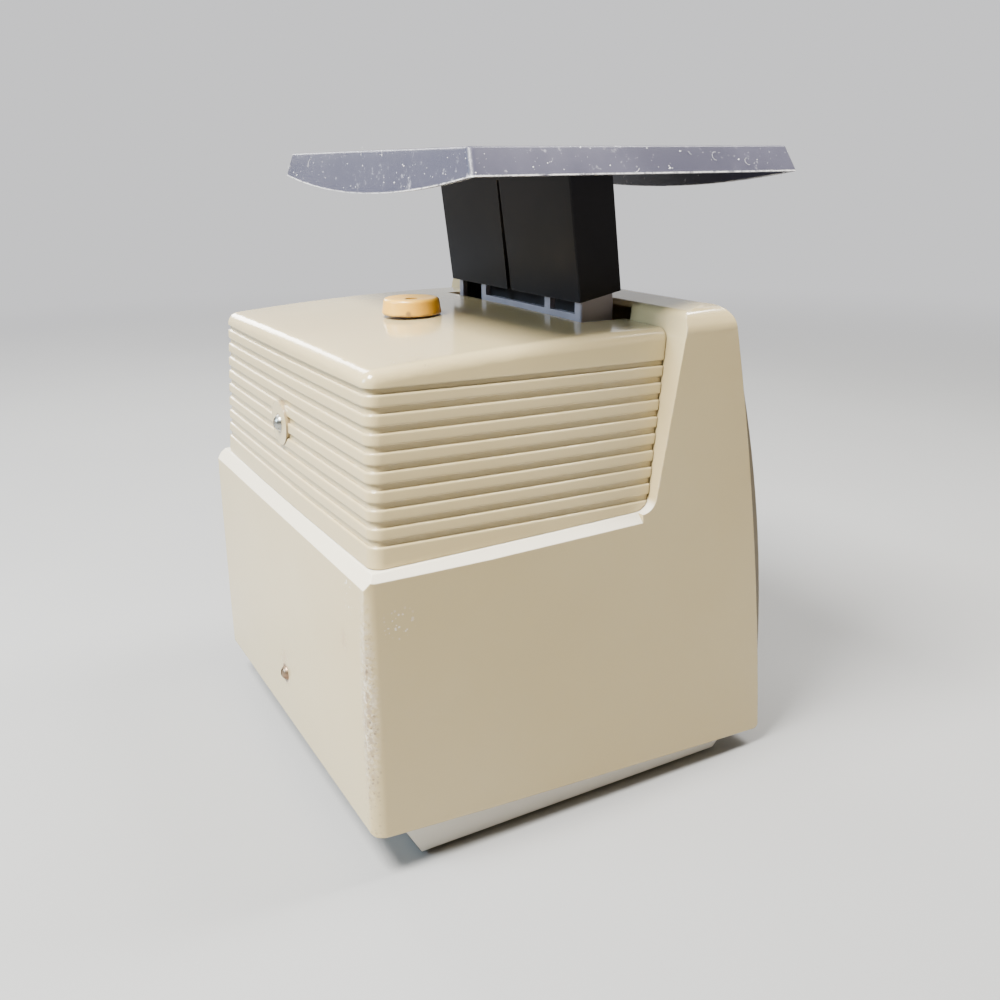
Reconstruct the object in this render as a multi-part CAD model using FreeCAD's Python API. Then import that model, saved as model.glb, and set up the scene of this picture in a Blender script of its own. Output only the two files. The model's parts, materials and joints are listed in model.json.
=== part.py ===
import FreeCAD, Part
import math
import os

from FreeCAD import Placement, Rotation, Vector

# Mechanical spring scale with a lift-off pan. Millimetres. +Z is up, the dial faces -Y, the ribbed cover is at +Y.
# The origin is the centre of the footprint, on the table.

# ---- driving dimensions -------------------------------------------------------------------------------------
CASE_HALF_W = 89.4          # half width at the case's corners
CASE_CROWN = 1.2            # how far each case wall bulges between its corners
WALL = 2.6                  # moulded wall of both shells
REAR_Y_LOW = 86.6           # rear face at the bottom edge
REAR_Y_HIGH = 84.7          # rear face at the ledge
BOTTOM_Z_REAR = 16.3        # the case's lower edge falls towards the dial
BOTTOM_Z_FRONT = 7.4
LEDGE_Z_REAR = 112.7        # ledge that the ribbed cover stands on
LEDGE_Z_FRONT = 114.8
REAR_BEVEL_W = 3.5          # the ledge slopes down to the outer faces
REAR_BEVEL_DROP = 4.4
SIDE_BEVEL_W = 2.2
SIDE_BEVEL_DROP = 2.2
RISER_Y_LOW = -27.5         # slanted step between the ledge and the dial housing
RISER_Y_HIGH = -39.8
RIDGE_Z_REAR = 185.3        # top of the dial housing
RIDGE_Z_FRONT = 188.2
RIDGE_CROWN = 2.0
FRONT_Y_TOP = -59.6         # the dial face leans back between these two
FRONT_Y_LOW = -87.6
FRONT_BULGE = 3.4

COVER_HALF_W_LOW = 85.7
COVER_HALF_W_HIGH = 80.2
COVER_REAR_Y_LOW = 80.4
COVER_REAR_Y_HIGH = 77.3
COVER_APEX_Z = 180.0        # crest of the cover's domed top
COVER_APEX_Y = -21.6
COVER_ARC_R = 1206.0        # arc of the top from front to rear
COVER_CROSS_R = 3000.0      # arc of the top from side to side
RIB_COUNT = 9
RIB_PITCH = 6.0
RIB_TOP_Z = 168.2           # upper edge of the highest band, at the rear
RIB_SLOPE = 0.018           # the bands fall slightly towards the dial
COVER_CORNER_R = 5.0
COVER_RIM_R = 4.8           # rounding around the top
GROOVE_H = 1.9
GROOVE_DEPTH = 0.9

STEM_HALF_W = 52.0          # the pan's stem
STEM_LEAN = 0.12            # it leans back by this much for each millimetre of height
PAN_TOP_Z = 240.1
PAN_HALF_W = 82.1
PAN_Y_FRONT = -87.1
PAN_Y_REAR = 41.4
OPENING_HALF_W = 55.0       # the cover's opening around the stem
OPENING_REAR_Y = -18.6
SLOT_HALF_W = 57.0          # the dial housing is open to the stem below a thin lip
LIP_Z = 183.4
LIP_Y = -40.4

TRAVEL = 8.0                # pan travel at full load
LEVER_PIVOT_Y = 46.0
CARRIAGE_Y = -28.0
LEVER_LOW_Z = 62.0
LEVER_HIGH_Z = 134.0
PIN_R = 2.0
RUN = 0.05                  # radial clearance of a running fit
KNOB_Y = 24.5               # zero adjuster

DIAL_Z = 104.0
DIAL_LEAN = math.radians(8.8)
TOOTH_MODULE = 0.5
PINION_TEETH = 10
PINION_R = TOOTH_MODULE * PINION_TEETH / 2
RACK_DEPTH = -34.0          # behind the dial face, along the pointer shaft

FLOOR_BOTTOM = 1.0          # base pan's floor
FLOOR_TOP = 3.6
PAD_R = 8.0
PLATE = 1.6                 # pressed steel sheet
HEAD_R = 3.2                # rear screws
SCREW_X = 2.5
UPPER_SCREW_Z = 142.6
LOWER_SCREW_Z = 38.0
COVER_BOSS_Y = 80.3         # outer face of the round boss under the upper screw
FRAME_REAR_Y = 61.6
CORNER_X = 76.0             # base screws
CORNER_YS = (54.0, -54.0)

LENS_R = 60.0
DIAL_SCREW_R = 66.0
DIAL_SCREW_ANGLES = (45, 135, 225, 315)
BEZEL_HALF_W = 88.2
BEZEL_MID_Z = 99.0
BEZEL_HALF_H = 75.0
BEZEL_EDGE_N = -1.7         # how proud the panel is at its top and bottom edges, along the dial's own n
BEZEL_MID_N = 4.2
BEZEL_HOLE_R = 55.0
LENS_TOP = -1.8             # lens flange against the bezel's back, along the dial's own n
DIAL_FACE_N = -7.0
CHEEK_OUT = 32.6            # outer face of the frame's cheeks and the carriage's plates
ARM_X = 28.0
BRIDGE_Z = 160.0
ZERO_SHAFT_R = 2.5
THREAD_R = 2.0
KNOB_Z = 179.9
KNOB_H = 6.2
KNOB_R_LOW = 11.7
KNOB_R_TOP = 10.7
OPEN_PIVOT = 0.5            # clearance of the levers' front pivots, where the linkage is opened
NOSE_X = 7.4
RACK_PIN_R = 1.0
ANCHOR_PIN_R = 1.5
SPRING_R = 6.5
SPRING_WIRE_R = 0.9
SPRING_TURNS = 14
SPRING_LOW = 84.0
SPIGOT_R = 5.5
HANGER_Z = 140.0
HEAD_Z = 152.0
HEAD_TOP_Z = 214.0
HEAD_HALF_W = 49.4
HEAD_SCREW_XS = (-40.0, 40.0)
SHAFT_R = 1.2
BUSH_R = 2.6
GUIDE_R = 1.5
RACK_ROOT = PINION_R + 1.3 * TOOTH_MODULE
RACK_BACK = 6.4
GUIDE_U = RACK_BACK + GUIDE_R + 0.1
ZERO_ANGLE = 120.0          # the pointer's rest angle, from straight up
STEM_WALL = 1.5
PAN_CORNER_R = 2.2
PAN_FLARE_X = 0.57          # how far the skirt leans out for each millimetre it drops
PAN_FLARE_Y = 0.19
PAN_SKIRT = 8.6             # skirt height at the corners
PAN_BELLY = 6.3             # how much lower it hangs in the middle

FAR = 400.0                 # reach of cutting solids


# ---- helpers ------------------------------------------------------------------------------------------------
def box(x0, x1, y0, y1, z0, z1):
    return Part.makeBox(x1 - x0, y1 - y0, z1 - z0, Vector(x0, y0, z0))


def rod(radius, start, end):
    start = Vector(*start)
    along = Vector(*end) - start
    return Part.makeCylinder(radius, along.Length, start, along)


def cone(r_start, r_end, start, end):
    start = Vector(*start)
    along = Vector(*end) - start
    return Part.makeCone(r_start, r_end, along.Length, start, along)


def fuse(first, *others):
    result = first
    for other in others:
        result = result.fuse(other)
    return result.removeSplitter()


def line(a, b):
    return Part.LineSegment(a, b).toShape()


def arc(a, mid, b):
    return Part.Arc(a, mid, b).toShape()


def prism_x(points, x0, x1):
    """A solid from an outline of (y, z) points, between two values of x."""
    corners = [Vector(x0, y, z) for y, z in points]
    face = Part.Face(Part.makePolygon(corners + corners[:1]))
    return face.extrude(Vector(x1 - x0, 0, 0))


def edges_at(shape, test):
    """The edges whose middle point passes the test."""
    found = []
    for edge in shape.Edges:
        middle = edge.valueAt((edge.FirstParameter + edge.LastParameter) / 2)
        if test(edge, middle):
            found.append(edge)
    return found


def upright(edge, middle):
    direction = edge.tangentAt(edge.FirstParameter)
    return abs(direction.z) > 0.9


def group(solids):
    return Part.makeCompound(solids)


def save(name, shape):
    if not shape.isValid():
        raise ValueError(name + " is not a valid shape")
    shape.exportStep("parts/" + name + ".step")


# ---- the dial's own frame: u is +X, v runs up the dial face, n points out of it ----------------------------------
DIAL_V = Vector(0, math.sin(DIAL_LEAN), math.cos(DIAL_LEAN))
DIAL_N = Vector(0, -math.cos(DIAL_LEAN), math.sin(DIAL_LEAN))


def front_y(z):
    """The case's front outline at height z: an arc, taken as a parabola."""
    along = (z - BOTTOM_Z_FRONT) / (RIDGE_Z_FRONT - BOTTOM_Z_FRONT)
    chord = FRONT_Y_LOW + along * (FRONT_Y_TOP - FRONT_Y_LOW)
    return chord - 4 * FRONT_BULGE * along * (1 - along)


DIAL_CENTRE = Vector(0, front_y(DIAL_Z), DIAL_Z)


def on_dial(u, v, n):
    """A point in the row frame from the dial's own coordinates."""
    return DIAL_CENTRE + Vector(u, 0, 0) + DIAL_V * v + DIAL_N * n


def to_dial(shape):
    """Moves a shape built with x=u, y=v, z=n to its place on the dial."""
    tilt = Rotation(Vector(1, 0, 0), 90 - math.degrees(DIAL_LEAN))
    shape.Placement = Placement(DIAL_CENTRE, tilt).multiply(shape.Placement)
    return shape


RACK_FOOT = on_dial(0, 0, RACK_DEPTH)
RACK_PIN_V = (LEVER_LOW_Z - RACK_FOOT.z) / math.cos(DIAL_LEAN)
NOSE_NEAR = LEVER_PIVOT_Y - on_dial(0, RACK_PIN_V, RACK_DEPTH).y       # lever length to the rack pin, no load
NOSE_FAR = NOSE_NEAR + 2.2                                             # and at full load


# ---- case -----------------------------------------------------------------------------------------------------
def plan_prism(half_w, rear_y, inset, z0, z1):
    """The case seen from above: crowned sides and rear, rounded rear corners."""
    w = half_w - inset
    r = rear_y - inset
    f = FRONT_Y_LOW - 20
    side = CASE_CROWN
    left = arc(Vector(-w, r, z0), Vector(-w - side, (r + f) / 2 + 10, z0), Vector(-w, f, z0))
    right = arc(Vector(w, f, z0), Vector(w + side, (r + f) / 2 + 10, z0), Vector(w, r, z0))
    rear = arc(Vector(w, r, z0), Vector(0, r + side, z0), Vector(-w, r, z0))
    front = line(Vector(-w, f, z0), Vector(w, f, z0))
    outline = Part.Wire(Part.__sortEdges__([left, front, right, rear]))
    solid = Part.Face(outline).extrude(Vector(0, 0, z1 - z0))
    corners = edges_at(solid, lambda e, m: upright(e, m) and m.y > 0)
    return solid.makeFillet(max(6.0 - inset, 1.5), corners)


def case_profile(inset):
    """The case seen from the side, as a prism across the whole width."""
    bottom_drop = 30.0 if inset > 0 else 0.0
    rear_low = Vector(0, REAR_Y_LOW - inset, BOTTOM_Z_REAR - bottom_drop)
    rear_high = Vector(0, REAR_Y_HIGH - inset, LEDGE_Z_REAR - inset)
    riser_low = Vector(0, RISER_Y_LOW - inset, LEDGE_Z_FRONT - inset)
    riser_high = Vector(0, RISER_Y_HIGH - inset, RIDGE_Z_REAR - inset)
    top = Vector(0, FRONT_Y_TOP + inset, RIDGE_Z_FRONT - inset)
    low = Vector(0, FRONT_Y_LOW + inset, BOTTOM_Z_FRONT - bottom_drop)
    mid_z = (RIDGE_Z_FRONT + BOTTOM_Z_FRONT) / 2
    mid = Vector(0, front_y(mid_z) + inset, mid_z)
    edges = [
        line(rear_low, rear_high),
        line(rear_high, riser_low),
        line(riser_low, riser_high),
        line(riser_high, top),
        arc(top, mid, low),
        line(low, rear_low),
    ]
    solid = Part.Face(Part.Wire(edges)).extrude(Vector(2 * FAR, 0, 0))
    solid.translate(Vector(-FAR, 0, 0))

    def near(y, z):
        return edges_at(solid, lambda e, m: abs(m.y - y) < 0.3 and abs(m.z - z) < 0.3)

    solid = solid.makeFillet(6.5, near(riser_low.y, riser_low.z))
    solid = solid.makeFillet(max(3.2 - inset, 0.6), near(riser_high.y, riser_high.z))
    solid = solid.makeFillet(9.0 - inset, near(top.y, top.z))
    if inset == 0:
        solid = solid.makeFillet(2.0, near(rear_low.y, rear_low.z))
        solid = solid.makeFillet(2.0, near(low.y, low.z))
    return solid


def crown_cap(inset):
    """Everything under the dial housing's crowned top, with rounded shoulders."""
    w = CASE_HALF_W + CASE_CROWN - 0.3 - inset
    z = RIDGE_Z_FRONT + 0.6 - RIDGE_CROWN - inset
    low = -FAR
    start = -FAR
    top = arc(Vector(-w, start, z), Vector(0, start, z + RIDGE_CROWN), Vector(w, start, z))
    outline = Part.Wire([
        line(Vector(-w, start, low), Vector(-w, start, z)),
        top,
        line(Vector(w, start, z), Vector(w, start, low)),
        line(Vector(w, start, low), Vector(-w, start, low)),
    ])
    solid = Part.Face(outline).extrude(Vector(0, 2 * FAR, 0))
    shoulders = edges_at(solid, lambda e, m: abs(abs(m.x) - w) < 0.1 and abs(m.z - z) < 0.1)
    return solid.makeFillet(9.0 - inset, shoulders)


def ledge_bevels():
    """Wedges that slope the ledge down to the case's outer faces at the rear and both sides."""
    start_y = REAR_Y_HIGH - REAR_BEVEL_W
    start_z = ledge_z(start_y)
    reach = 10.0
    rear = prism_x([
        (start_y, start_z),
        (start_y + reach, start_z - reach * REAR_BEVEL_DROP / REAR_BEVEL_W),
        (start_y + reach, start_z + reach),
        (start_y, start_z + reach),
    ], -FAR, FAR)
    end_y = RISER_Y_LOW + 5.0
    shapes = [rear]
    for side in (-1, 1):
        start_x = CASE_HALF_W - SIDE_BEVEL_W
        low = -reach * SIDE_BEVEL_DROP / SIDE_BEVEL_W
        section = []
        for x, dz in ((start_x, 0.0), (start_x + reach, low), (start_x + reach, reach), (start_x, reach)):
            section.append(Vector(side * x, end_y, ledge_z(end_y) + dz))
        run = FAR - end_y
        slope = (LEDGE_Z_FRONT - LEDGE_Z_REAR) / (REAR_Y_HIGH - RISER_Y_LOW)
        face = Part.Face(Part.makePolygon(section + section[:1]))
        shapes.append(face.extrude(Vector(0, run, -slope * run)))
    return shapes


def case_solid(inset):
    body = case_profile(inset).common(plan_prism(CASE_HALF_W, REAR_Y_LOW, inset, -40, 220))
    body = body.common(crown_cap(inset))
    if inset == 0:
        for wedge in ledge_bevels():
            body = body.cut(wedge)
    return body


def slanted_slab(z_rear, height, slope):
    """A slab across everything whose faces fall towards the dial, seen from the side."""
    y0, y1 = -FAR, FAR
    low = [(y, z_rear - slope * (COVER_REAR_Y_HIGH - y)) for y in (y0, y1)]
    high = [(y, z + height) for y, z in reversed(low)]
    return prism_x(low + high, -FAR, FAR)


def ledge_z(y):
    along = (REAR_Y_HIGH - y) / (REAR_Y_HIGH - RISER_Y_LOW)
    return LEDGE_Z_REAR + along * (LEDGE_Z_FRONT - LEDGE_Z_REAR)


def main_housing():
    shell = case_solid(0).cut(case_solid(WALL))
    # the cover's opening in the ledge, then the slot for the stem with a thin lip above it
    shell = shell.cut(box(-81.5, 81.5, -24.5, 76.0, 95, 130))
    shell = shell.cut(box(-SLOT_HALF_W, SLOT_HALF_W, LIP_Y - 6, 0, 95, LIP_Z))
    shell = shell.cut(box(-SLOT_HALF_W, SLOT_HALF_W, LIP_Y, 0, LIP_Z - 1, 240))
    for x in (-CORNER_X, CORNER_X):
        outer = math.copysign(CASE_HALF_W - 0.6, x)
        for y in CORNER_YS:
            post = rod(4.6, (x, y, FLOOR_TOP), (x, y, 34))
            web = box(min(x, outer), max(x, outer), y - 1.2, y + 1.2, 19, 34)
            shell = shell.fuse(post).fuse(web)
            shell = shell.cut(rod(1.6, (x, y, 3), (x, y, 22)))
    boss = rod(5.0, (SCREW_X, REAR_Y_LOW - 1, LOWER_SCREW_Z), (SCREW_X, FRAME_REAR_Y, LOWER_SCREW_Z))
    shell = shell.fuse(boss)
    dimple = cone(3.4, 4.6, (SCREW_X, 86.0, LOWER_SCREW_Z), (SCREW_X, 89.0, LOWER_SCREW_Z))
    shell = shell.cut(dimple)
    shell = shell.cut(rod(1.9, (SCREW_X, 60, LOWER_SCREW_Z), (SCREW_X, 90, LOWER_SCREW_Z)))
    shell = shell.cut(to_dial(Part.makeCylinder(LENS_R, 40, Vector(0, 0, -12))))
    for angle in DIAL_SCREW_ANGLES:
        u = DIAL_SCREW_R * math.cos(math.radians(angle))
        v = DIAL_SCREW_R * math.sin(math.radians(angle))
        pad = to_dial(Part.makeCylinder(3.4, 6.0, Vector(u, v, DIAL_FACE_N)))
        hole = to_dial(Part.makeCylinder(1.0, 4.0, Vector(u, v, DIAL_FACE_N - 0.1)))
        shell = shell.fuse(pad.common(case_solid(0.5))).cut(hole)
    return shell.removeSplitter()


# ---- ribbed cover ------------------------------------------------------------------------------------------------
def cover_outline(z, inset):
    """The cover's outline at height z: drafted and crowned sides and rear, straight front."""
    along = (z - LEDGE_Z_REAR) / (RIB_TOP_Z - LEDGE_Z_REAR)
    w = COVER_HALF_W_LOW + along * (COVER_HALF_W_HIGH - COVER_HALF_W_LOW) - inset
    r = COVER_REAR_Y_LOW + along * (COVER_REAR_Y_HIGH - COVER_REAR_Y_LOW) - inset
    f = -60.0
    left = arc(Vector(-w, r, z), Vector(-w - CASE_CROWN, 20, z), Vector(-w, f, z))
    front = line(Vector(-w, f, z), Vector(w, f, z))
    right = arc(Vector(w, f, z), Vector(w + CASE_CROWN, 20, z), Vector(w, r, z))
    rear = arc(Vector(w, r, z), Vector(0, r + 0.9, z), Vector(-w, r, z))
    return Part.Wire([left, front, right, rear])


def cover_block(inset, z0, z1):
    solid = Part.makeLoft([cover_outline(z0, inset), cover_outline(z1, inset)], True)
    corners = edges_at(solid, lambda e, m: upright(e, m) and m.y > 0)
    return solid.makeFillet(max(COVER_CORNER_R - inset, 1.2), corners)


def cover_dome(inset):
    """Everything under the doubly curved top."""
    centre_z = COVER_APEX_Z - COVER_ARC_R
    half = 120.0
    drop = COVER_CROSS_R - math.sqrt(COVER_CROSS_R ** 2 - half ** 2)
    top = COVER_APEX_Z - inset
    y = COVER_APEX_Y
    crest = arc(Vector(-half, y, top - drop), Vector(0, y, top), Vector(half, y, top - drop))
    floor_z = 40.0
    outline = Part.Wire([
        crest,
        line(Vector(half, y, top - drop), Vector(half, y, floor_z)),
        line(Vector(half, y, floor_z), Vector(-half, y, floor_z)),
        line(Vector(-half, y, floor_z), Vector(-half, y, top - drop)),
    ])
    face = Part.Face(outline)
    sweep = 9.0
    face.rotate(Vector(0, y, centre_z), Vector(1, 0, 0), -sweep)
    return face.revolve(Vector(0, y, centre_z), Vector(1, 0, 0), 2 * sweep)


def riser_cutter(gap):
    """Everything on the dial's side of the slanted step, moved back by gap."""
    slope = (RISER_Y_HIGH - RISER_Y_LOW) / (RIDGE_Z_REAR - LEDGE_Z_FRONT)
    y0 = RISER_Y_LOW + gap - slope * (LEDGE_Z_FRONT - 60)
    y1 = y0 + slope * 180
    return prism_x([(y0, 60), (y1, 240), (-FAR, 240), (-FAR, 60)], -FAR, FAR)


def under_ledge(offset):
    """Everything below the ledge's plane, raised by offset."""
    y0, y1 = -FAR, FAR
    return prism_x([(y0, ledge_z(y0) + offset), (y1, ledge_z(y1) + offset), (y1, 0), (y0, 0)], -FAR, FAR)


def ribbed_cover():
    top_band_z = RIB_TOP_Z + GROOVE_H
    core = cover_block(GROOVE_DEPTH, 96, 176)
    skin = cover_block(0, 96, 190)
    head = skin.common(slanted_slab(top_band_z, 60, RIB_SLOPE)).common(cover_dome(0))
    rims = edges_at(head, lambda e, m: m.z > 174.5 and not upright(e, m) and m.y > -55)
    head = head.makeFillet(COVER_RIM_R, rims)
    solid = core.common(slanted_slab(top_band_z - 90, 90.5, RIB_SLOPE))
    solid = solid.fuse(head)
    for index in range(RIB_COUNT):
        band_top = RIB_TOP_Z - index * RIB_PITCH
        height = RIB_PITCH - GROOVE_H
        if index == RIB_COUNT - 1:
            height = 16.0
        band = skin.common(slanted_slab(band_top - height, height, RIB_SLOPE))
        lips = edges_at(band, lambda e, m: not upright(e, m) and m.y > -59)
        band = band.makeFillet(0.8, lips)
        solid = solid.fuse(band)
    boss = rod(8.5, (SCREW_X, 60, UPPER_SCREW_Z), (SCREW_X, COVER_BOSS_Y, UPPER_SCREW_Z))
    flat = boss.cut(box(-20, 25, 0, 73, 120, 160))
    solid = solid.fuse(flat)
    solid = solid.cut(riser_cutter(0.35))
    solid = solid.cut(under_ledge(0.2))
    seat = case_solid(0)
    seat.translate(Vector(0, 0.3, 0.2))
    solid = solid.cut(seat)
    # hollow it, leaving a lip that drops through the opening in the ledge
    hollow = cover_block(WALL + GROOVE_DEPTH, 60, 176).common(cover_dome(WALL))
    solid = solid.cut(hollow)
    lip_outer = cover_block(WALL + GROOVE_DEPTH - 0.6, 80, 125)
    lip_inner = cover_block(WALL + GROOVE_DEPTH + 1.6, 80, 130)
    lip = lip_outer.cut(lip_inner).cut(under_ledge(-7.0)).cut(riser_cutter(2.5))
    lip = lip.cut(box(-FAR, FAR, -FAR, FAR, 118, 140))
    lip = lip.common(box(-81.2, 81.2, -24.0, 75.7, 90, 140)).fuse(
        lip.cut(under_ledge(0.2)).cut(seat))
    solid = solid.fuse(lip)
    post = rod(4.2, (SCREW_X, FRAME_REAR_Y, UPPER_SCREW_Z), (SCREW_X, 77, UPPER_SCREW_Z))
    solid = solid.fuse(post)
    solid = solid.cut(rod(1.9, (SCREW_X, 60, UPPER_SCREW_Z), (SCREW_X, 90, UPPER_SCREW_Z)))
    solid = solid.cut(box(-OPENING_HALF_W, OPENING_HALF_W, -FAR, OPENING_REAR_Y, 95, 240))
    solid = solid.cut(rod(4.5, (0, KNOB_Y, 160), (0, KNOB_Y, 200)))
    return solid.removeSplitter()


# ---- base -----------------------------------------------------------------------------------------------------------
PAD_SPOTS = [(x, y) for x in (-58.0, 58.0) for y in (-46.0, 46.0)]
CORNER_SPOTS = [(x, y) for x in (-CORNER_X, CORNER_X) for y in CORNER_YS]
FRAME_SCREW_SPOTS = [(x, y) for x in (-22.0, 22.0) for y in (22.0, 50.0)]
BRACKET_SCREW_SPOTS = [(-9.0, -48.0), (9.0, -48.0)]


def bottom_edge_z(y):
    return BOTTOM_Z_REAR + (y - REAR_Y_LOW) * (BOTTOM_Z_REAR - BOTTOM_Z_FRONT) / (REAR_Y_LOW - FRONT_Y_LOW)


def plinth(inset):
    low = FLOOR_BOTTOM + inset
    solid = prism_x(
        [(66.8 - inset, low), (75.6 - inset, 17 + inset), (75.6 - inset, 24), (-74.0 + inset, 24),
         (-74.0 + inset, 9 + inset), (-66.8 + inset, low)],
        -85.0 + inset, 85.0 - inset)
    if inset == 0:
        rims = edges_at(solid, lambda e, m: abs(m.z - low) < 0.1)
        solid = solid.makeFillet(1.2, rims)
    return solid


def base_pan():
    y0, y1 = -100.0, 100.0
    lift = 1.0
    thick = 2.4
    low = [(y, bottom_edge_z(y) + lift) for y in (y0, y1)]
    high = [(y, z + thick) for y, z in reversed(low)]
    inside = case_solid(WALL + 0.3)
    flange = prism_x(low + high, -FAR, FAR).common(inside)
    under_flange = prism_x(low + [(y1, -50), (y0, -50)], -FAR, FAR)
    tub = plinth(0).common(fuse(under_flange, prism_x(low + high, -FAR, FAR)))
    pan = fuse(tub, flange).cut(plinth(FLOOR_TOP - FLOOR_BOTTOM))
    for x, y in CORNER_SPOTS:
        pan = pan.cut(cone(3.5, 1.7, (x, y, FLOOR_BOTTOM), (x, y, FLOOR_BOTTOM + 1.8)))
        pan = pan.cut(rod(1.7, (x, y, 0), (x, y, 6)))
    for x, y in PAD_SPOTS:
        pan = pan.cut(rod(PAD_R, (x, y, 0), (x, y, FLOOR_BOTTOM + 0.8)))
    for x, y in FRAME_SCREW_SPOTS + BRACKET_SCREW_SPOTS:
        pan = pan.cut(rod(1.3, (x, y, FLOOR_BOTTOM + 0.6), (x, y, 6)))
    return pan.removeSplitter()


def rubber_feet():
    pads = []
    for x, y in PAD_SPOTS:
        pad = rod(PAD_R, (x, y, 0), (x, y, FLOOR_BOTTOM + 0.8))
        rim = edges_at(pad, lambda e, m: m.z < 0.1)
        pads.append(pad.makeFillet(0.4, rim))
    return group(pads)


def base_screws():
    screws = []
    for x, y in CORNER_SPOTS:
        head = cone(3.5, 1.7, (x, y, FLOOR_BOTTOM), (x, y, FLOOR_BOTTOM + 1.8))
        shank = rod(1.6, (x, y, FLOOR_BOTTOM + 1.8), (x, y, 20))
        slot = box(x - 3, x + 3, y - 0.4, y + 0.4, FLOOR_BOTTOM - 1, FLOOR_BOTTOM + 0.8)
        screws.append(fuse(head, shank).cut(slot))
    return group(screws)


def pan_head_screw(x, y, seat_z, length):
    head = rod(2.8, (x, y, seat_z), (x, y, seat_z + 1.8))
    head = head.makeFillet(0.8, edges_at(head, lambda e, m: m.z > seat_z + 1.7))
    shank = rod(1.3, (x, y, seat_z - length), (x, y, seat_z))
    slot = box(x - 3, x + 3, y - 0.4, y + 0.4, seat_z + 1.0, seat_z + 3)
    return fuse(head, shank).cut(slot)


def frame_screws():
    seat = FLOOR_TOP + PLATE
    return group([pan_head_screw(x, y, seat, 3.4) for x, y in FRAME_SCREW_SPOTS])


def bracket_screws():
    seat = FLOOR_TOP + PLATE
    return group([pan_head_screw(x, y, seat, 3.4) for x, y in BRACKET_SCREW_SPOTS])


def rear_screw(seat_y, z, tip_y):
    head_h = 2.1
    ball_r = (HEAD_R ** 2 + head_h ** 2) / (2 * head_h)
    ball = Part.makeSphere(ball_r, Vector(SCREW_X, seat_y + head_h - ball_r, z))
    head = ball.common(box(SCREW_X - 9, SCREW_X + 9, seat_y, seat_y + 9, z - 9, z + 9))
    slot = box(SCREW_X - 0.45, SCREW_X + 0.45, seat_y + 1.2, seat_y + 9, z - 9, z + 9)
    shank = rod(1.8, (SCREW_X, tip_y, z), (SCREW_X, seat_y, z))
    return fuse(head, shank).cut(slot)


def rear_cover_screw():
    return rear_screw(COVER_BOSS_Y, UPPER_SCREW_Z, 58.6)


def rear_housing_screw():
    return rear_screw(86.0, LOWER_SCREW_Z, 58.6)


# ---- dial -----------------------------------------------------------------------------------------------------------
def front_bezel():
    mid = (BEZEL_MID_Z - DIAL_Z) / math.cos(DIAL_LEAN)
    low = mid - BEZEL_HALF_H
    high = mid + BEZEL_HALF_H
    edge_n = BEZEL_EDGE_N
    profile = Part.Wire([
        arc(Vector(0, low, edge_n), Vector(0, mid, BEZEL_MID_N), Vector(0, high, edge_n)),
        line(Vector(0, high, edge_n), Vector(0, high, -9)),
        line(Vector(0, high, -9), Vector(0, low, -9)),
        line(Vector(0, low, -9), Vector(0, low, edge_n)),
    ])
    solid = Part.Face(profile).extrude(Vector(2 * BEZEL_HALF_W, 0, 0))
    solid.translate(Vector(-BEZEL_HALF_W, 0, 0))
    corners = edges_at(solid, lambda e, m: abs(e.tangentAt(e.FirstParameter).z) > 0.9)
    solid = solid.makeFillet(9.0, corners)
    rim = edges_at(solid, lambda e, m: m.z > edge_n - 0.2)
    solid = solid.makeFillet(0.9, rim)
    solid = solid.cut(Part.makeCylinder(BEZEL_HOLE_R, 40, Vector(0, 0, -20)))
    lip = Part.makeCone(BEZEL_HOLE_R, BEZEL_HOLE_R + 4, 5.0, Vector(0, 0, 0.6))
    solid = solid.cut(lip)
    solid = solid.cut(Part.makeCylinder(LENS_R + 0.2, 20, Vector(0, 0, LENS_TOP - 20)))
    # it fits the case's outer face, with a ring that reaches in and holds the lens
    opening = to_dial(Part.makeCylinder(LENS_R - 0.2, 60, Vector(0, 0, -30)))
    return to_dial(solid).cut(case_solid(0).cut(opening)).removeSplitter()


def dial_lens():
    """A clear dome on a flat flange."""
    thick = 2.0
    outer_r = BEZEL_HOLE_R - 0.3
    rise = 7.0
    ball_r = (outer_r ** 2 + rise ** 2) / (2 * rise)
    ball_z = LENS_TOP + rise - ball_r
    slab = Part.makeCylinder(outer_r, 20, Vector(0, 0, LENS_TOP))
    dome = Part.makeSphere(ball_r, Vector(0, 0, ball_z)).common(slab)
    flange = Part.makeCylinder(LENS_R - 0.3, 3.0, Vector(0, 0, LENS_TOP - 3.0))
    solid = fuse(dome, flange)
    solid = solid.cut(Part.makeSphere(ball_r - thick, Vector(0, 0, ball_z)))
    solid = solid.cut(Part.makeCylinder(outer_r - 2.0, 10, Vector(0, 0, LENS_TOP - 10)))
    return to_dial(solid)


def dial_plate():
    solid = Part.makeCylinder(DIAL_SCREW_R + 4, 1.0, Vector(0, 0, DIAL_FACE_N - 1.0))
    solid = solid.cut(Part.makeCylinder(2.6, 4, Vector(0, 0, DIAL_FACE_N - 2)))
    for angle in DIAL_SCREW_ANGLES:
        u = DIAL_SCREW_R * math.cos(math.radians(angle))
        v = DIAL_SCREW_R * math.sin(math.radians(angle))
        solid = solid.cut(Part.makeCylinder(1.2, 4, Vector(u, v, DIAL_FACE_N - 2)))
    return to_dial(solid)


def dial_screws():
    screws = []
    for angle in DIAL_SCREW_ANGLES:
        u = DIAL_SCREW_R * math.cos(math.radians(angle))
        v = DIAL_SCREW_R * math.sin(math.radians(angle))
        back = DIAL_FACE_N - 1.0
        head = Part.makeCylinder(2.2, 1.5, Vector(u, v, back - 1.5))
        shank = Part.makeCylinder(1.0, 4.7, Vector(u, v, back))
        screws.append(to_dial(fuse(head, shank)))
    return group(screws)


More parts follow.
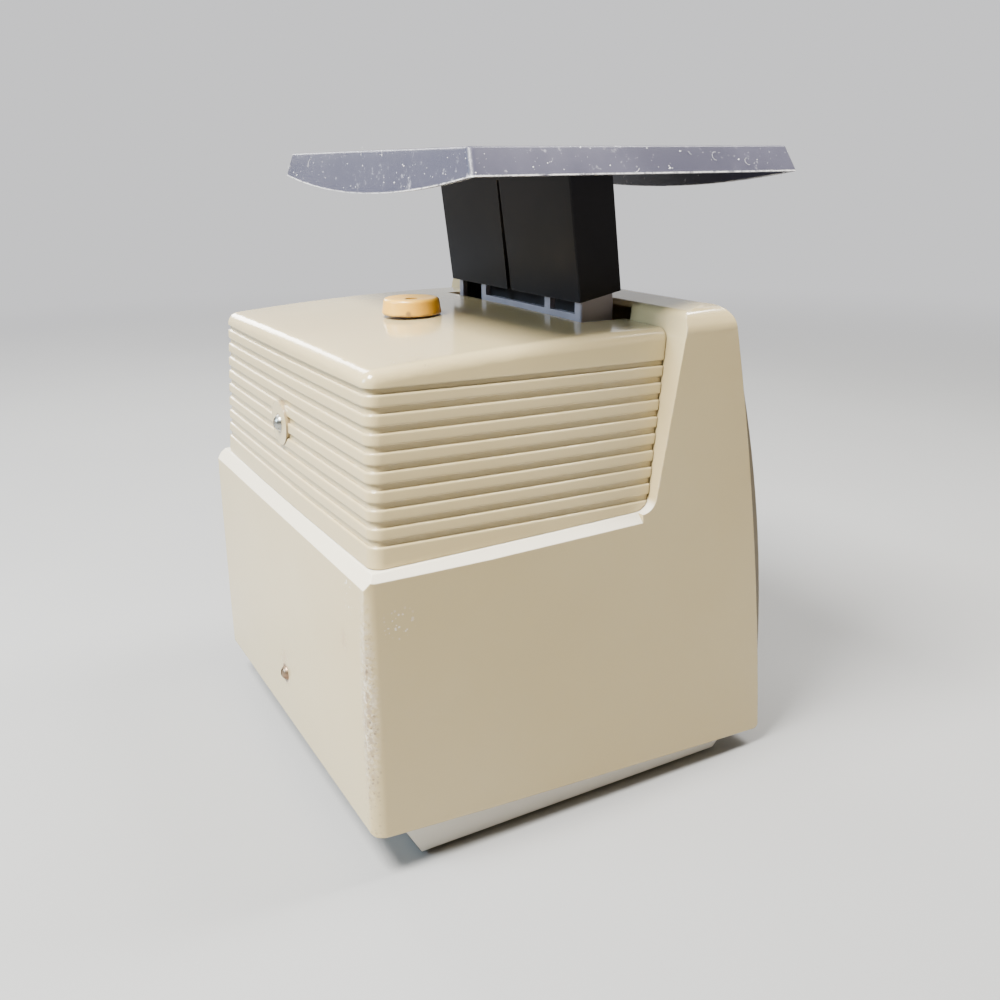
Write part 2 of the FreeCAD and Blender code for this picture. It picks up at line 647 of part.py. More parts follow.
# ---- fixed frame ------------------------------------------------------------------------------------------------------
def mechanism_frame():
    foot = box(-CHEEK_OUT, CHEEK_OUT, 14, FRAME_REAR_Y, FLOOR_TOP, FLOOR_TOP + PLATE)
    back = box(-CHEEK_OUT, CHEEK_OUT, FRAME_REAR_Y - PLATE, FRAME_REAR_Y, FLOOR_TOP, BRIDGE_Z)
    bridge = box(-CHEEK_OUT, CHEEK_OUT, 12, FRAME_REAR_Y, BRIDGE_Z - PLATE, BRIDGE_Z)
    solid = fuse(foot, back, bridge)
    for side in (-1, 1):
        x0, x1 = sorted((side * CHEEK_OUT, side * (CHEEK_OUT - PLATE)))
        solid = solid.fuse(box(x0, x1, 36, FRAME_REAR_Y, FLOOR_TOP, BRIDGE_Z))
        rail0, rail1 = sorted((side * 2.3, side * 4.0))
        solid = solid.fuse(box(rail0, rail1, FRAME_REAR_Y - 7, FRAME_REAR_Y - PLATE, 136, 157))
    for z in (LEVER_LOW_Z, LEVER_HIGH_Z):
        solid = solid.cut(rod(PIN_R, (-60, LEVER_PIVOT_Y, z), (60, LEVER_PIVOT_Y, z)))
    for x, y in FRAME_SCREW_SPOTS:
        solid = solid.cut(rod(1.5, (x, y, 0), (x, y, 9)))
    for z in (UPPER_SCREW_Z, LOWER_SCREW_Z):
        solid = solid.cut(rod(1.9, (SCREW_X, 50, z), (SCREW_X, 66, z)))
    solid = solid.cut(rod(ZERO_SHAFT_R + RUN, (0, KNOB_Y, 150), (0, KNOB_Y, 170)))
    # lightening windows in the back plate
    solid = solid.cut(box(-20, 20, 55, 66, 60, 100))
    return solid.removeSplitter()


def lever_pivot_pins():
    reach = CHEEK_OUT + 1.4
    pins = []
    for z in (LEVER_LOW_Z, LEVER_HIGH_Z):
        pins.append(rod(PIN_R, (-reach, LEVER_PIVOT_Y, z), (reach, LEVER_PIVOT_Y, z)))
    return group(pins)


def pointer_bracket():
    half_w = 13.0
    front_n = -24.0
    rear_n = -42.0
    top_v = 17.0
    bend_v = -60.0

    def plate(n, low_v):
        sheet = Part.makeBox(2 * half_w, top_v - low_v, PLATE, Vector(-half_w, low_v, n))
        return to_dial(sheet)

    front = plate(front_n, bend_v)
    rear = plate(rear_n, -11.0)
    web = to_dial(Part.makeBox(2 * half_w, PLATE, front_n - rear_n + PLATE, Vector(-half_w, top_v, rear_n)))
    bend = on_dial(0, bend_v, front_n)
    post = box(-half_w, half_w, bend.y - PLATE, bend.y, FLOOR_TOP, bend.z + 1.5)
    foot = box(-half_w, half_w, bend.y - PLATE, -40.0, FLOOR_TOP, FLOOR_TOP + PLATE)
    solid = fuse(front, rear, web, post, foot)
    solid = solid.cut(to_dial(Part.makeCylinder(BUSH_R, 60, Vector(0, 0, -50))))
    solid = solid.cut(to_dial(Part.makeCylinder(GUIDE_R, 60, Vector(GUIDE_U, 0, -50))))
    for x, y in BRACKET_SCREW_SPOTS:
        solid = solid.cut(rod(1.5, (x, y, 0), (x, y, 9)))
    return solid.removeSplitter()


def bush(n0, n1):
    sleeve = Part.makeCylinder(BUSH_R, n1 - n0, Vector(0, 0, n0))
    return to_dial(sleeve.cut(Part.makeCylinder(SHAFT_R + RUN, 60, Vector(0, 0, -60))))


def pointer_bushes():
    return group([bush(-42.8, -39.6), bush(-24.8, -21.6)])


def rack_guide_pin():
    return to_dial(Part.makeCylinder(GUIDE_R, 19.6, Vector(GUIDE_U, 0, -42.0)))


# ---- moving mechanism ---------------------------------------------------------------------------------------------------
def lever(z, with_nose):
    hub_r = 5.0
    shapes = []
    for side in (-1, 1):
        x0 = side * ARM_X
        x1 = side * (ARM_X + PLATE)
        arm = box(min(x0, x1), max(x0, x1), CARRIAGE_Y, LEVER_PIVOT_Y, z - 4, z + 4)
        for y in (CARRIAGE_Y, LEVER_PIVOT_Y):
            arm = arm.fuse(rod(hub_r, (x0, y, z), (x1, y, z)))
        shapes.append(arm)
    for y in (34.0, -20.0):
        shapes.append(box(-ARM_X, ARM_X, y, y + 4, z - 0.8, z + 0.8))
    if with_nose:
        tip = NOSE_FAR + 3.2
        shapes.append(box(NOSE_X, NOSE_X + PLATE, LEVER_PIVOT_Y - tip, -14, z - 4.5, z + 4.5))
    solid = fuse(*shapes)
    solid = solid.cut(rod(PIN_R + RUN, (-60, LEVER_PIVOT_Y, z), (60, LEVER_PIVOT_Y, z)))
    solid = solid.cut(rod(PIN_R + OPEN_PIVOT, (-60, CARRIAGE_Y, z), (60, CARRIAGE_Y, z)))
    if with_nose:
        half = RACK_PIN_R + 0.2
        near = LEVER_PIVOT_Y - NOSE_NEAR + 0.4
        far = LEVER_PIVOT_Y - NOSE_FAR - 0.4
        slot = box(0, 20, far, near, z - half, z + half)
        for y in (near, far):
            slot = slot.fuse(rod(half, (0, y, z), (20, y, z)))
        solid = solid.cut(slot)
        solid = solid.cut(rod(ANCHOR_PIN_R, (-60, KNOB_Y, z), (60, KNOB_Y, z)))
    return solid.removeSplitter()


def lower_lever():
    return lever(LEVER_LOW_Z, True)


def upper_lever():
    return lever(LEVER_HIGH_Z, False)


def spring_anchor_pin():
    reach = ARM_X + PLATE + 0.8
    return rod(ANCHOR_PIN_R, (-reach, KNOB_Y, LEVER_LOW_Z), (reach, KNOB_Y, LEVER_LOW_Z))


def spring_anchor():
    z = LEVER_LOW_Z
    eye = rod(4.5, (-3, KNOB_Y, z), (3, KNOB_Y, z))
    neck = box(-3, 3, KNOB_Y - 2.5, KNOB_Y + 2.5, z, SPRING_LOW - 1.5)
    flange = rod(SPRING_R + 0.8, (0, KNOB_Y, SPRING_LOW - 3), (0, KNOB_Y, SPRING_LOW - 1.4))
    spigot = rod(SPIGOT_R, (0, KNOB_Y, SPRING_LOW - 1.5), (0, KNOB_Y, SPRING_LOW + 8))
    solid = fuse(eye, neck, flange, spigot)
    return solid.cut(rod(ANCHOR_PIN_R + RUN, (-9, KNOB_Y, z), (9, KNOB_Y, z))).removeSplitter()


def spring_hanger():
    top = HANGER_Z + 7
    block = box(-7, 7, KNOB_Y - 6, KNOB_Y + 6, HANGER_Z, top)
    spigot = rod(SPIGOT_R, (0, KNOB_Y, HANGER_Z - 8), (0, KNOB_Y, HANGER_Z))
    key = box(-2, 2, KNOB_Y, FRAME_REAR_Y - PLATE - 2.2, HANGER_Z + 1, top - 1)
    solid = fuse(block, spigot, key)
    return solid.cut(rod(THREAD_R + RUN, (0, KNOB_Y, 100), (0, KNOB_Y, 170))).removeSplitter()


def main_spring():
    """The coil between the hanger and the anchor."""
    top = HANGER_Z - SPRING_WIRE_R - 0.1
    low = SPRING_LOW
    pitch = (top - low) / SPRING_TURNS
    path = Part.Wire(Part.makeHelix(pitch, top - low, SPRING_R).Edges)
    start = Vector(SPRING_R, 0, 0)
    section = Part.Wire(Part.makeCircle(SPRING_WIRE_R, start, Vector(0, 1, 0)))
    coil = path.makePipeShell([section], True, True)
    coil.translate(Vector(0, KNOB_Y, low))
    return coil


def zero_screw():
    shaft = rod(ZERO_SHAFT_R, (0, KNOB_Y, 150), (0, KNOB_Y, KNOB_Z + 4.4))
    thread = rod(THREAD_R, (0, KNOB_Y, 126), (0, KNOB_Y, 150))
    collar = rod(5.0, (0, KNOB_Y, BRIDGE_Z + RUN), (0, KNOB_Y, BRIDGE_Z + 1.8))
    return fuse(shaft, thread, collar)


def zero_screw_clip():
    ring = rod(5.0, (0, KNOB_Y, BRIDGE_Z - PLATE - 1.2), (0, KNOB_Y, BRIDGE_Z - PLATE - RUN))
    ring = ring.cut(rod(ZERO_SHAFT_R, (0, KNOB_Y, 150), (0, KNOB_Y, 160)))
    return ring.cut(box(-1.6, 1.6, KNOB_Y, KNOB_Y + 9, 150, 160))


def zero_knob():
    body = cone(KNOB_R_LOW, KNOB_R_TOP, (0, KNOB_Y, KNOB_Z), (0, KNOB_Y, KNOB_Z + KNOB_H))
    body = body.makeFillet(0.6, edges_at(body, lambda e, m: m.z < KNOB_Z + 0.1))
    body = body.makeFillet(1.5, edges_at(body, lambda e, m: m.z > KNOB_Z + KNOB_H - 0.1))
    dish_r = 60.0
    dish = Part.makeSphere(dish_r, Vector(0, KNOB_Y, KNOB_Z + KNOB_H - 0.6 + dish_r))
    body = body.cut(dish)
    return body.cut(rod(ZERO_SHAFT_R, (0, KNOB_Y, KNOB_Z - 1), (0, KNOB_Y, KNOB_Z + 9)))


def carriage_frame():
    z_low = 50.0
    shapes = []
    for side in (-1, 1):
        x0, x1 = sorted((side * CHEEK_OUT, side * (CHEEK_OUT - PLATE)))
        shapes.append(box(x0, x1, CARRIAGE_Y - 6, CARRIAGE_Y + 6, z_low, HEAD_Z))
    shapes.append(box(-CHEEK_OUT, CHEEK_OUT, CARRIAGE_Y - 6, CARRIAGE_Y + 6, z_low, z_low + PLATE))
    shapes.append(box(-46, 46, CARRIAGE_Y - 6, CARRIAGE_Y + 6, HEAD_Z - PLATE, HEAD_Z))
    solid = fuse(*shapes)
    for z in (LEVER_LOW_Z, LEVER_HIGH_Z):
        solid = solid.cut(rod(PIN_R, (-60, CARRIAGE_Y, z), (60, CARRIAGE_Y, z)))
    for x in HEAD_SCREW_XS:
        solid = solid.cut(rod(1.5, (x, CARRIAGE_Y, HEAD_Z - 5), (x, CARRIAGE_Y, HEAD_Z + 1)))
    return solid.removeSplitter()


def carriage_pins():
    reach = CHEEK_OUT + 1.4
    pins = []
    for z in (LEVER_LOW_Z, LEVER_HIGH_Z):
        pins.append(rod(PIN_R, (-reach, CARRIAGE_Y, z), (reach, CARRIAGE_Y, z)))
    return group(pins)


def head_block(inset, half_w, z0, z1):
    bend = 186.0
    rear_y = -21.7 - inset
    front_y_ = -36.6 + inset
    shift = STEM_LEAN * (z1 - bend)
    return prism_x(
        [(rear_y, z0), (rear_y, bend), (rear_y + shift, z1), (front_y_ + shift, z1), (front_y_, bend),
         (front_y_, z0)],
        -half_w, half_w)


def carriage_head():
    wall = 2.2
    top = HEAD_TOP_Z
    solid = head_block(0, HEAD_HALF_W, HEAD_Z, top)
    corners = edges_at(solid, lambda e, m: upright(e, m))
    solid = solid.makeFillet(1.0, corners)
    solid = solid.cut(head_block(wall, HEAD_HALF_W - wall, HEAD_Z + 3, top + 3))
    # windows in the rear wall, between two posts and above the rail
    rail_z = 181.3
    for x0, x1, z0 in ((-45.4, -28.0, rail_z), (-24.0, 24.0, rail_z), (28.0, 45.4, 172.0)):
        solid = solid.cut(box(x0, x1, -25, -15, z0, 206))
    for side in (-1, 1):
        x0, x1 = sorted((side * (HEAD_HALF_W - 0.5), side * (STEM_HALF_W - STEM_WALL - 0.2)))
        rib = head_block(6.5, 1, 192, top).BoundBox
        solid = solid.fuse(box(x0, x1, rib.YMin, rib.YMax, 194, top - 2))
    for x in HEAD_SCREW_XS:
        solid = solid.cut(rod(1.3, (x, CARRIAGE_Y, HEAD_Z - 1), (x, CARRIAGE_Y, HEAD_Z + 2.6)))
    return solid.removeSplitter()


def head_screws():
    screws = []
    for x in HEAD_SCREW_XS:
        low = HEAD_Z - PLATE
        head = rod(2.8, (x, CARRIAGE_Y, low - 1.8), (x, CARRIAGE_Y, low))
        shank = rod(1.3, (x, CARRIAGE_Y, low), (x, CARRIAGE_Y, HEAD_Z + 2.4))
        screws.append(fuse(head, shank))
    return group(screws)


def rack():
    bar_n = RACK_DEPTH - 1.2
    thick = 2.4
    pin_v = RACK_PIN_V
    bar = Part.makeBox(RACK_BACK - RACK_ROOT, 15.0 - pin_v + 3, thick, Vector(RACK_ROOT, pin_v - 3, bar_n))
    pitch = math.pi * TOOTH_MODULE
    for index in range(-2, 9):
        v = (index + 0.5) * pitch
        root = RACK_ROOT + 0.1
        tip = PINION_R - 0.85 * TOOTH_MODULE
        points = [Vector(root, v - 0.42, bar_n), Vector(tip, v - 0.14, bar_n),
                  Vector(tip, v + 0.14, bar_n), Vector(root, v + 0.42, bar_n)]
        tooth = Part.Face(Part.makePolygon(points + points[:1])).extrude(Vector(0, 0, thick))
        bar = bar.fuse(tooth)
    solid = to_dial(bar.removeSplitter())
    start = on_dial(RACK_BACK - 2.6, pin_v, RACK_DEPTH)
    return solid.cut(rod(RACK_PIN_R, (start.x, start.y, start.z), (start.x + 9, start.y, start.z)))


def rack_pin():
    start = on_dial(RACK_BACK - 2.6, RACK_PIN_V, RACK_DEPTH)
    return rod(RACK_PIN_R, (start.x, start.y, start.z), (NOSE_X + PLATE + 0.8, start.y, start.z))


def pinion():
    root_r = PINION_R - 1.3 * TOOTH_MODULE
    tip_r = PINION_R + 0.85 * TOOTH_MODULE
    low = RACK_DEPTH - 2.4
    height = 4.8
    gear = Part.makeCylinder(root_r, height, Vector(0, 0, low))
    for index in range(PINION_TEETH):
        points = [Vector(root_r - 0.3, -0.42, low), Vector(PINION_R, -0.28, low), Vector(tip_r, -0.12, low),
                  Vector(tip_r, 0.12, low), Vector(PINION_R, 0.28, low), Vector(root_r - 0.3, 0.42, low)]
        tooth = Part.Face(Part.makePolygon(points + points[:1])).extrude(Vector(0, 0, height))
        tooth.rotate(Vector(0, 0, 0), Vector(0, 0, 1), index * 360.0 / PINION_TEETH)
        gear = gear.fuse(tooth)
    gear = gear.cut(Part.makeCylinder(SHAFT_R, 60, Vector(0, 0, -60)))
    return to_dial(gear.removeSplitter())


def pointer_shaft():
    return to_dial(Part.makeCylinder(SHAFT_R, 40.4, Vector(0, 0, -44.4)))


def pointer_collars():
    """Two small collars that stop the shaft sliding through its bushes."""
    rings = []
    for n0 in (-44.2, -21.5):
        ring = Part.makeCylinder(2.4, 1.3, Vector(0, 0, n0))
        rings.append(to_dial(ring.cut(Part.makeCylinder(SHAFT_R, 9, Vector(0, 0, n0 - 2)))))
    return group(rings)


def pointer_hub():
    hub = Part.makeCylinder(4.2, 2.2, Vector(0, 0, DIAL_FACE_N + 1.7))
    hub = hub.makeFillet(0.9, edges_at(hub, lambda e, m: m.z > DIAL_FACE_N + 3.8))
    return to_dial(hub.cut(Part.makeCylinder(SHAFT_R, 3.0, Vector(0, 0, DIAL_FACE_N))))


def pointer():
    """A tapered blade with a round boss and a short counterweight, at zero load."""
    n = DIAL_FACE_N + 1.0
    points = [Vector(-2.2, -16, n), Vector(-1.7, 0, n), Vector(-0.9, 44, n), Vector(0, 50, n),
              Vector(0.9, 44, n), Vector(1.7, 0, n), Vector(2.2, -16, n)]
    blade = Part.Face(Part.makePolygon(points + points[:1])).extrude(Vector(0, 0, 0.7))
    boss = Part.makeCylinder(4.2, 0.7, Vector(0, 0, n))
    blade = fuse(blade, boss).cut(Part.makeCylinder(SHAFT_R, 9, Vector(0, 0, n - 3)))
    blade.rotate(Vector(0, 0, 0), Vector(0, 0, 1), ZERO_ANGLE)
    return to_dial(blade)


# ---- pan ----------------------------------------------------------------------------------------------------------------
def pan_outline(z, inset):
    """The pan's outline at height z: straight flared sides and rounded corners."""
    drop = PAN_TOP_Z - z
    w = PAN_HALF_W + PAN_FLARE_X * drop - inset
    y0 = PAN_Y_FRONT - PAN_FLARE_Y * drop + inset
    y1 = PAN_Y_REAR + PAN_FLARE_Y * drop - inset
    r = max(PAN_CORNER_R - inset, 0.6)
    k = r * (1 - math.sqrt(0.5))
    wire = []
    corners = [(w, y1, 1, 1), (-w, y1, -1, 1), (-w, y0, -1, -1), (w, y0, 1, -1)]
    spots = []
    for x, y, sx, sy in corners:
        on_x = Vector(x - sx * r, y, z)
        on_y = Vector(x, y - sy * r, z)
        mid = Vector(x - sx * k, y - sy * k, z)
        first, last = (on_y, on_x) if sx * sy > 0 else (on_x, on_y)
        spots.append((first, mid, last))
    for index, (first, mid, last) in enumerate(spots):
        wire.append(arc(first, mid, last))
        wire.append(line(last, spots[(index + 1) % 4][0]))
    return Part.Wire(wire)


def pan_block(inset, top):
    low = PAN_TOP_Z - 22
    return Part.makeLoft([pan_outline(low, inset), pan_outline(top, inset)], True)


def belly_cutter():
    """Everything above the skirt's lower edge, which hangs lower in the middle of the front and rear."""
    w = PAN_HALF_W + PAN_FLARE_X * PAN_SKIRT + 0.1
    corner_z = PAN_TOP_Z - PAN_SKIRT
    far = 140.0
    y = -200.0
    outline = Part.Wire([
        arc(Vector(-w, y, corner_z), Vector(0, y, corner_z - PAN_BELLY), Vector(w, y, corner_z)),
        line(Vector(w, y, corner_z), Vector(far, y, corner_z)),
        line(Vector(far, y, corner_z), Vector(far, y, 300)),
        line(Vector(far, y, 300), Vector(-far, y, 300)),
        line(Vector(-far, y, 300), Vector(-far, y, corner_z)),
        line(Vector(-far, y, corner_z), Vector(-w, y, corner_z)),
    ])
    return Part.Face(outline).extrude(Vector(0, 400, 0))


def stem_block(inset, z_top):
    rear_low = (-19.7 - inset, 186.1)
    front_low = (-38.3 + inset, 189.6)
    if inset > 0:
        rear_low = (rear_low[0] - STEM_LEAN * 10, rear_low[1] - 10)
        front_low = (front_low[0] - STEM_LEAN * 14, front_low[1] - 14)
    rear_top = (rear_low[0] + STEM_LEAN * (z_top - rear_low[1]), z_top)
    front_top = (front_low[0] + STEM_LEAN * (z_top - front_low[1]), z_top)
    return prism_x([rear_low, rear_top, front_top, front_low], -STEM_HALF_W + inset, STEM_HALF_W - inset)


def weighing_pan():
    skin = 2.2
    shell = pan_block(0, PAN_TOP_Z).common(belly_cutter())
    shell = shell.makeFillet(1.0, edges_at(shell, lambda e, m: m.z > PAN_TOP_Z - 0.1))
    shell = shell.cut(pan_block(skin, PAN_TOP_Z - skin))
    stem = stem_block(0, PAN_TOP_Z - 1)
    stem = stem.makeFillet(0.8, edges_at(stem, lambda e, m: upright(e, m)))
    shell = shell.fuse(stem)
    for x in (-STEM_HALF_W + 8, STEM_HALF_W - 8):
        rib = box(x - 0.8, x + 0.8, PAN_Y_FRONT + 1, PAN_Y_REAR - 1, PAN_TOP_Z - 8, PAN_TOP_Z - 1)
        shell = shell.fuse(rib)
    rib = box(-PAN_HALF_W + 1, PAN_HALF_W - 1, -25.0, -23.4, PAN_TOP_Z - 8, PAN_TOP_Z - 1)
    shell = shell.fuse(rib)
    shell = shell.cut(stem_block(STEM_WALL, HEAD_TOP_Z + 0.2))
    # a slit up the stem's rear wall, narrower towards the top
    slit = [Vector(-1.95, -25, 180), Vector(1.95, -25, 180), Vector(0.8, -25, 229), Vector(-0.8, -25, 229)]
    shell = shell.cut(Part.Face(Part.makePolygon(slit + slit[:1])).extrude(Vector(0, 25, 0)))
    tray = box(-PAN_HALF_W + 5, PAN_HALF_W - 5, PAN_Y_FRONT + 5, PAN_Y_REAR - 5, PAN_TOP_Z - 0.6, PAN_TOP_Z + 9)
    tray = tray.makeFillet(6, edges_at(tray, upright))
    return shell.cut(tray).removeSplitter()


PARTS = [
    main_housing,
    ribbed_cover,
    base_pan,
    rubber_feet,
    base_screws,
    frame_screws,
    bracket_screws,
    rear_cover_screw,
    rear_housing_screw,
    front_bezel,
    dial_lens,
    dial_plate,
    dial_screws,
    mechanism_frame,
    lever_pivot_pins,
    pointer_bracket,
    pointer_bushes,
    rack_guide_pin,
    lower_lever,
    upper_lever,
    spring_anchor_pin,
    spring_anchor,
    spring_hanger,
    main_spring,
    zero_screw,
    zero_screw_clip,
    zero_knob,
    carriage_frame,
    carriage_pins,
    carriage_head,
    head_screws,
    rack,
    rack_pin,
    pinion,
    pointer_shaft,
    pointer_collars,
    pointer_hub,
    pointer,
    weighing_pan,
]

os.makedirs("parts", exist_ok=True)
for build in PARTS:
    save(build.__name__, build())
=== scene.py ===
import json
import math
import random

import bmesh
import bpy
from mathutils import Matrix, Vector

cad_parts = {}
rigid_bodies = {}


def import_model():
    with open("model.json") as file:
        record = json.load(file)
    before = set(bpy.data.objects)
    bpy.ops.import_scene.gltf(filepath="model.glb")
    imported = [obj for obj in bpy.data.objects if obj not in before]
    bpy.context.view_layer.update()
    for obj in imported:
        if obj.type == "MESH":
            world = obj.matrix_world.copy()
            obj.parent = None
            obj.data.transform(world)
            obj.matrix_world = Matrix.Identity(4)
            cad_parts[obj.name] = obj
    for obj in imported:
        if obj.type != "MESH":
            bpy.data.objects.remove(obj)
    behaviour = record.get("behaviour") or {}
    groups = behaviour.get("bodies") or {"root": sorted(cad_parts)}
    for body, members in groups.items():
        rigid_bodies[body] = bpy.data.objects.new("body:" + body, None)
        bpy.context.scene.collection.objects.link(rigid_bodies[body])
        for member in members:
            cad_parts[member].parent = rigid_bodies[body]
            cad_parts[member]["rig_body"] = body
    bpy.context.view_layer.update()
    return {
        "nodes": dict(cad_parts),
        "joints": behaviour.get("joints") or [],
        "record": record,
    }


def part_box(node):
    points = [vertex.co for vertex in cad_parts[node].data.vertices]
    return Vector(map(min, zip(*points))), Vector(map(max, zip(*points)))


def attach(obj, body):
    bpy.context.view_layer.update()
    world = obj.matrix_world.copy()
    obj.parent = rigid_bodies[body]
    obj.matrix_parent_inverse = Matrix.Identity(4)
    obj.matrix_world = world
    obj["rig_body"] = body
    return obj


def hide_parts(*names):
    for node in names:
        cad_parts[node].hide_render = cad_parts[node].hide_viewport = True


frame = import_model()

MM = 0.001
random.seed(7)

NODES = frame["nodes"]
JOINTS = {joint["name"]: joint for joint in frame["joints"]}


# ---- node materials ------------------------------------------------------------------------------
class Look:
    """A procedural material put together from short node helpers, in metres in the row frame."""

    def __init__(self, name):
        self.mat = bpy.data.materials.new(name)
        self.mat.use_nodes = True
        self.tree = self.mat.node_tree
        self.bsdf = self.tree.nodes["Principled BSDF"]
        self.place = self.node("ShaderNodeTexCoord").outputs["Object"]
        self.geometry = self.node("ShaderNodeNewGeometry")
        split = self.node("ShaderNodeSeparateXYZ")
        self.link(self.place, split.inputs[0])
        self.x, self.y, self.z = split.outputs
        facing = self.node("ShaderNodeSeparateXYZ")
        self.link(self.geometry.outputs["Normal"], facing.inputs[0])
        self.nx, self.ny, self.nz = facing.outputs

    def node(self, kind, **settings):
        made = self.tree.nodes.new(kind)
        for key, value in settings.items():
            setattr(made, key, value)
        return made

    def link(self, value, socket):
        if isinstance(value, bpy.types.NodeSocket):
            self.tree.links.new(value, socket)
        elif isinstance(value, tuple) and len(value) == 3 and socket.type == "RGBA":
            socket.default_value = (*value, 1.0)
        else:
            socket.default_value = value

    def set(self, **inputs):
        for key, value in inputs.items():
            self.link(value, self.bsdf.inputs[key.replace("_", " ")])

    def calc(self, operation, first, second=0.0):
        made = self.node("ShaderNodeMath", operation=operation)
        self.link(first, made.inputs[0])
        self.link(second, made.inputs[1])
        return made.outputs[0]

    def larger(self, *values):
        result = values[0]
        for value in values[1:]:
            result = self.calc("MAXIMUM", result, value)
        return result

    def distance(self, *values):
        """The square root of the sum of the squares."""
        squares = [self.calc("MULTIPLY", value, value) for value in values]
        return self.calc("SQRT", self.total(*squares))

    def product(self, *values):
        result = values[0]
        for value in values[1:]:
            result = self.calc("MULTIPLY", result, value)
        return result

    def total(self, *values):
        result = values[0]
        for value in values[1:]:
            result = self.calc("ADD", result, value)
        return result

    def span(self, value, low, high, to_low=0.0, to_high=1.0):
        """value mapped from low..high to to_low..to_high, held at both ends."""
        made = self.node("ShaderNodeMapRange", interpolation_type="SMOOTHSTEP")
        for socket, item in zip(made.inputs[:5], (value, low, high, to_low, to_high)):
            self.link(item, socket)
        return made.outputs[0]

    def mapped(self, stretch, turn):
        made = self.node("ShaderNodeMapping")
        self.link(self.place, made.inputs["Vector"])
        made.inputs["Scale"].default_value = stretch
        made.inputs["Rotation"].default_value = turn
        return made.outputs[0]

    def noise(self, scale, detail=3.0, rough=0.5, stretch=(1, 1, 1), turn=(0, 0, 0)):
        made = self.node("ShaderNodeTexNoise")
        self.link(self.mapped(stretch, turn), made.inputs["Vector"])
        made.inputs["Scale"].default_value = scale
        made.inputs["Detail"].default_value = detail
        made.inputs["Roughness"].default_value = rough
        return made.outputs[0]

    def specks(self, scale, share, size):
        """1 inside small irregular spots; share is the fraction of cells that hold one."""
        cells = self.node("ShaderNodeTexVoronoi")
        bent = self.node("ShaderNodeVectorMath", operation="ADD")
        wobble = self.node("ShaderNodeTexNoise")
        wobble.inputs["Scale"].default_value = scale * 3.1
        self.link(self.place, bent.inputs[0])
        offset = self.node("ShaderNodeVectorMath", operation="SCALE")
        self.link(wobble.outputs["Color"], offset.inputs[0])
        offset.inputs["Scale"].default_value = 0.35 / scale
        self.link(self.place, wobble.inputs["Vector"])
        self.link(offset.outputs[0], bent.inputs[1])
        self.link(bent.outputs[0], cells.inputs["Vector"])
        cells.inputs["Scale"].default_value = scale
        pick = self.node("ShaderNodeSeparateColor")
        self.link(cells.outputs["Color"], pick.inputs[0])
        chosen = self.calc("LESS_THAN", pick.outputs[0], share)
        radius = self.product(pick.outputs[1], size)
        inside = self.span(self.calc("SUBTRACT", cells.outputs["Distance"], radius), 0.0, -0.06)
        return self.product(chosen, inside)

    def edges(self, radius, start=0.995, end=0.93, samples=4):
        """0 on flat areas and 1 along edges, from the shader's bevel."""
        bevel = self.node("ShaderNodeBevel", samples=samples)
        bevel.inputs["Radius"].default_value = radius
        dot = self.node("ShaderNodeVectorMath", operation="DOT_PRODUCT")
        self.link(bevel.outputs[0], dot.inputs[0])
        self.link(self.geometry.outputs["Normal"], dot.inputs[1])
        return self.span(dot.outputs["Value"], start, end)

    def crevice(self, reach, samples=6):
        """1 deep in grooves and seams, 0 in the open."""
        made = self.node("ShaderNodeAmbientOcclusion", samples=samples)
        made.inputs["Distance"].default_value = reach
        return self.span(made.outputs["AO"], 0.75, 0.25)

    def near(self, spot, inner, outer, squeeze=(1, 1, 1)):
        """1 within inner of a spot, falling to 0 at outer; squeeze above 1 narrows an axis."""
        away = [self.product(self.calc("SUBTRACT", axis, centre), scale)
                for axis, centre, scale in zip((self.x, self.y, self.z), spot, squeeze)]
        return self.span(self.distance(*away), outer, inner)

    def mix(self, factor, first, second):
        """A colour between two; blend is the same for plain values."""
        made = self.node("ShaderNodeMix", data_type="RGBA")
        self.link(factor, made.inputs[0])
        self.link(first, made.inputs[6])
        self.link(second, made.inputs[7])
        return made.outputs[2]

    def blend(self, factor, first, second):
        made = self.node("ShaderNodeMix", data_type="FLOAT")
        self.link(factor, made.inputs[0])
        self.link(first, made.inputs[2])
        self.link(second, made.inputs[3])
        return made.outputs[0]

    def bump(self, height, distance, strength=1.0, onto=None):
        made = self.node("ShaderNodeBump")
        made.inputs["Strength"].default_value = strength
        made.inputs["Distance"].default_value = distance
        self.link(height, made.inputs["Height"])
        if onto is not None:
            self.link(onto, made.inputs["Normal"])
        return made.outputs[0]


def shade(tone, share):
    """A colour made darker, or lighter up to white."""
    return tuple(min(1, channel * share) for channel in tone)


DOTTED = 600                # marks with a finer grain than this are scattered dots
LEDGE_TOP = 0.120           # everything of the case below this height that faces up is the ledge
RING_DEPTH = 0.005          # a ring stays on faces within this depth in front of its centre


def add_mark(look, colour, mark):
    """A patch of dots or blotches round a spot. Returns the new colour and the patch's mask."""
    spot, inner, outer, squeeze, grain, strength, tone = mark
    if grain > DOTTED:
        pattern = look.specks(grain, 0.55, 0.5)
    else:
        pattern = look.span(look.noise(grain, 4, 0.65), 0.40, 0.56)
    patch = look.product(look.near(spot, inner, outer, squeeze), pattern, strength)
    return look.mix(patch, colour, tone), patch


def add_ring(look, colour, ring):
    """A broken dark line round a screw or a boss in the rear wall."""
    centre, radius, width, strength, tone = ring
    flat = (1, 0, 1)
    disc = look.near(centre, radius, radius + width, flat)
    core = look.near(centre, radius - width, radius, flat)
    at_rear = look.span(look.y, centre[1] - RING_DEPTH - MM, centre[1] - RING_DEPTH)
    broken = look.span(look.noise(300, 3), 0.3, 0.55, 0.35, 1.0)
    line = look.product(look.calc("SUBTRACT", disc, core), at_rear, broken)
    return look.mix(look.product(line, strength), colour, tone)


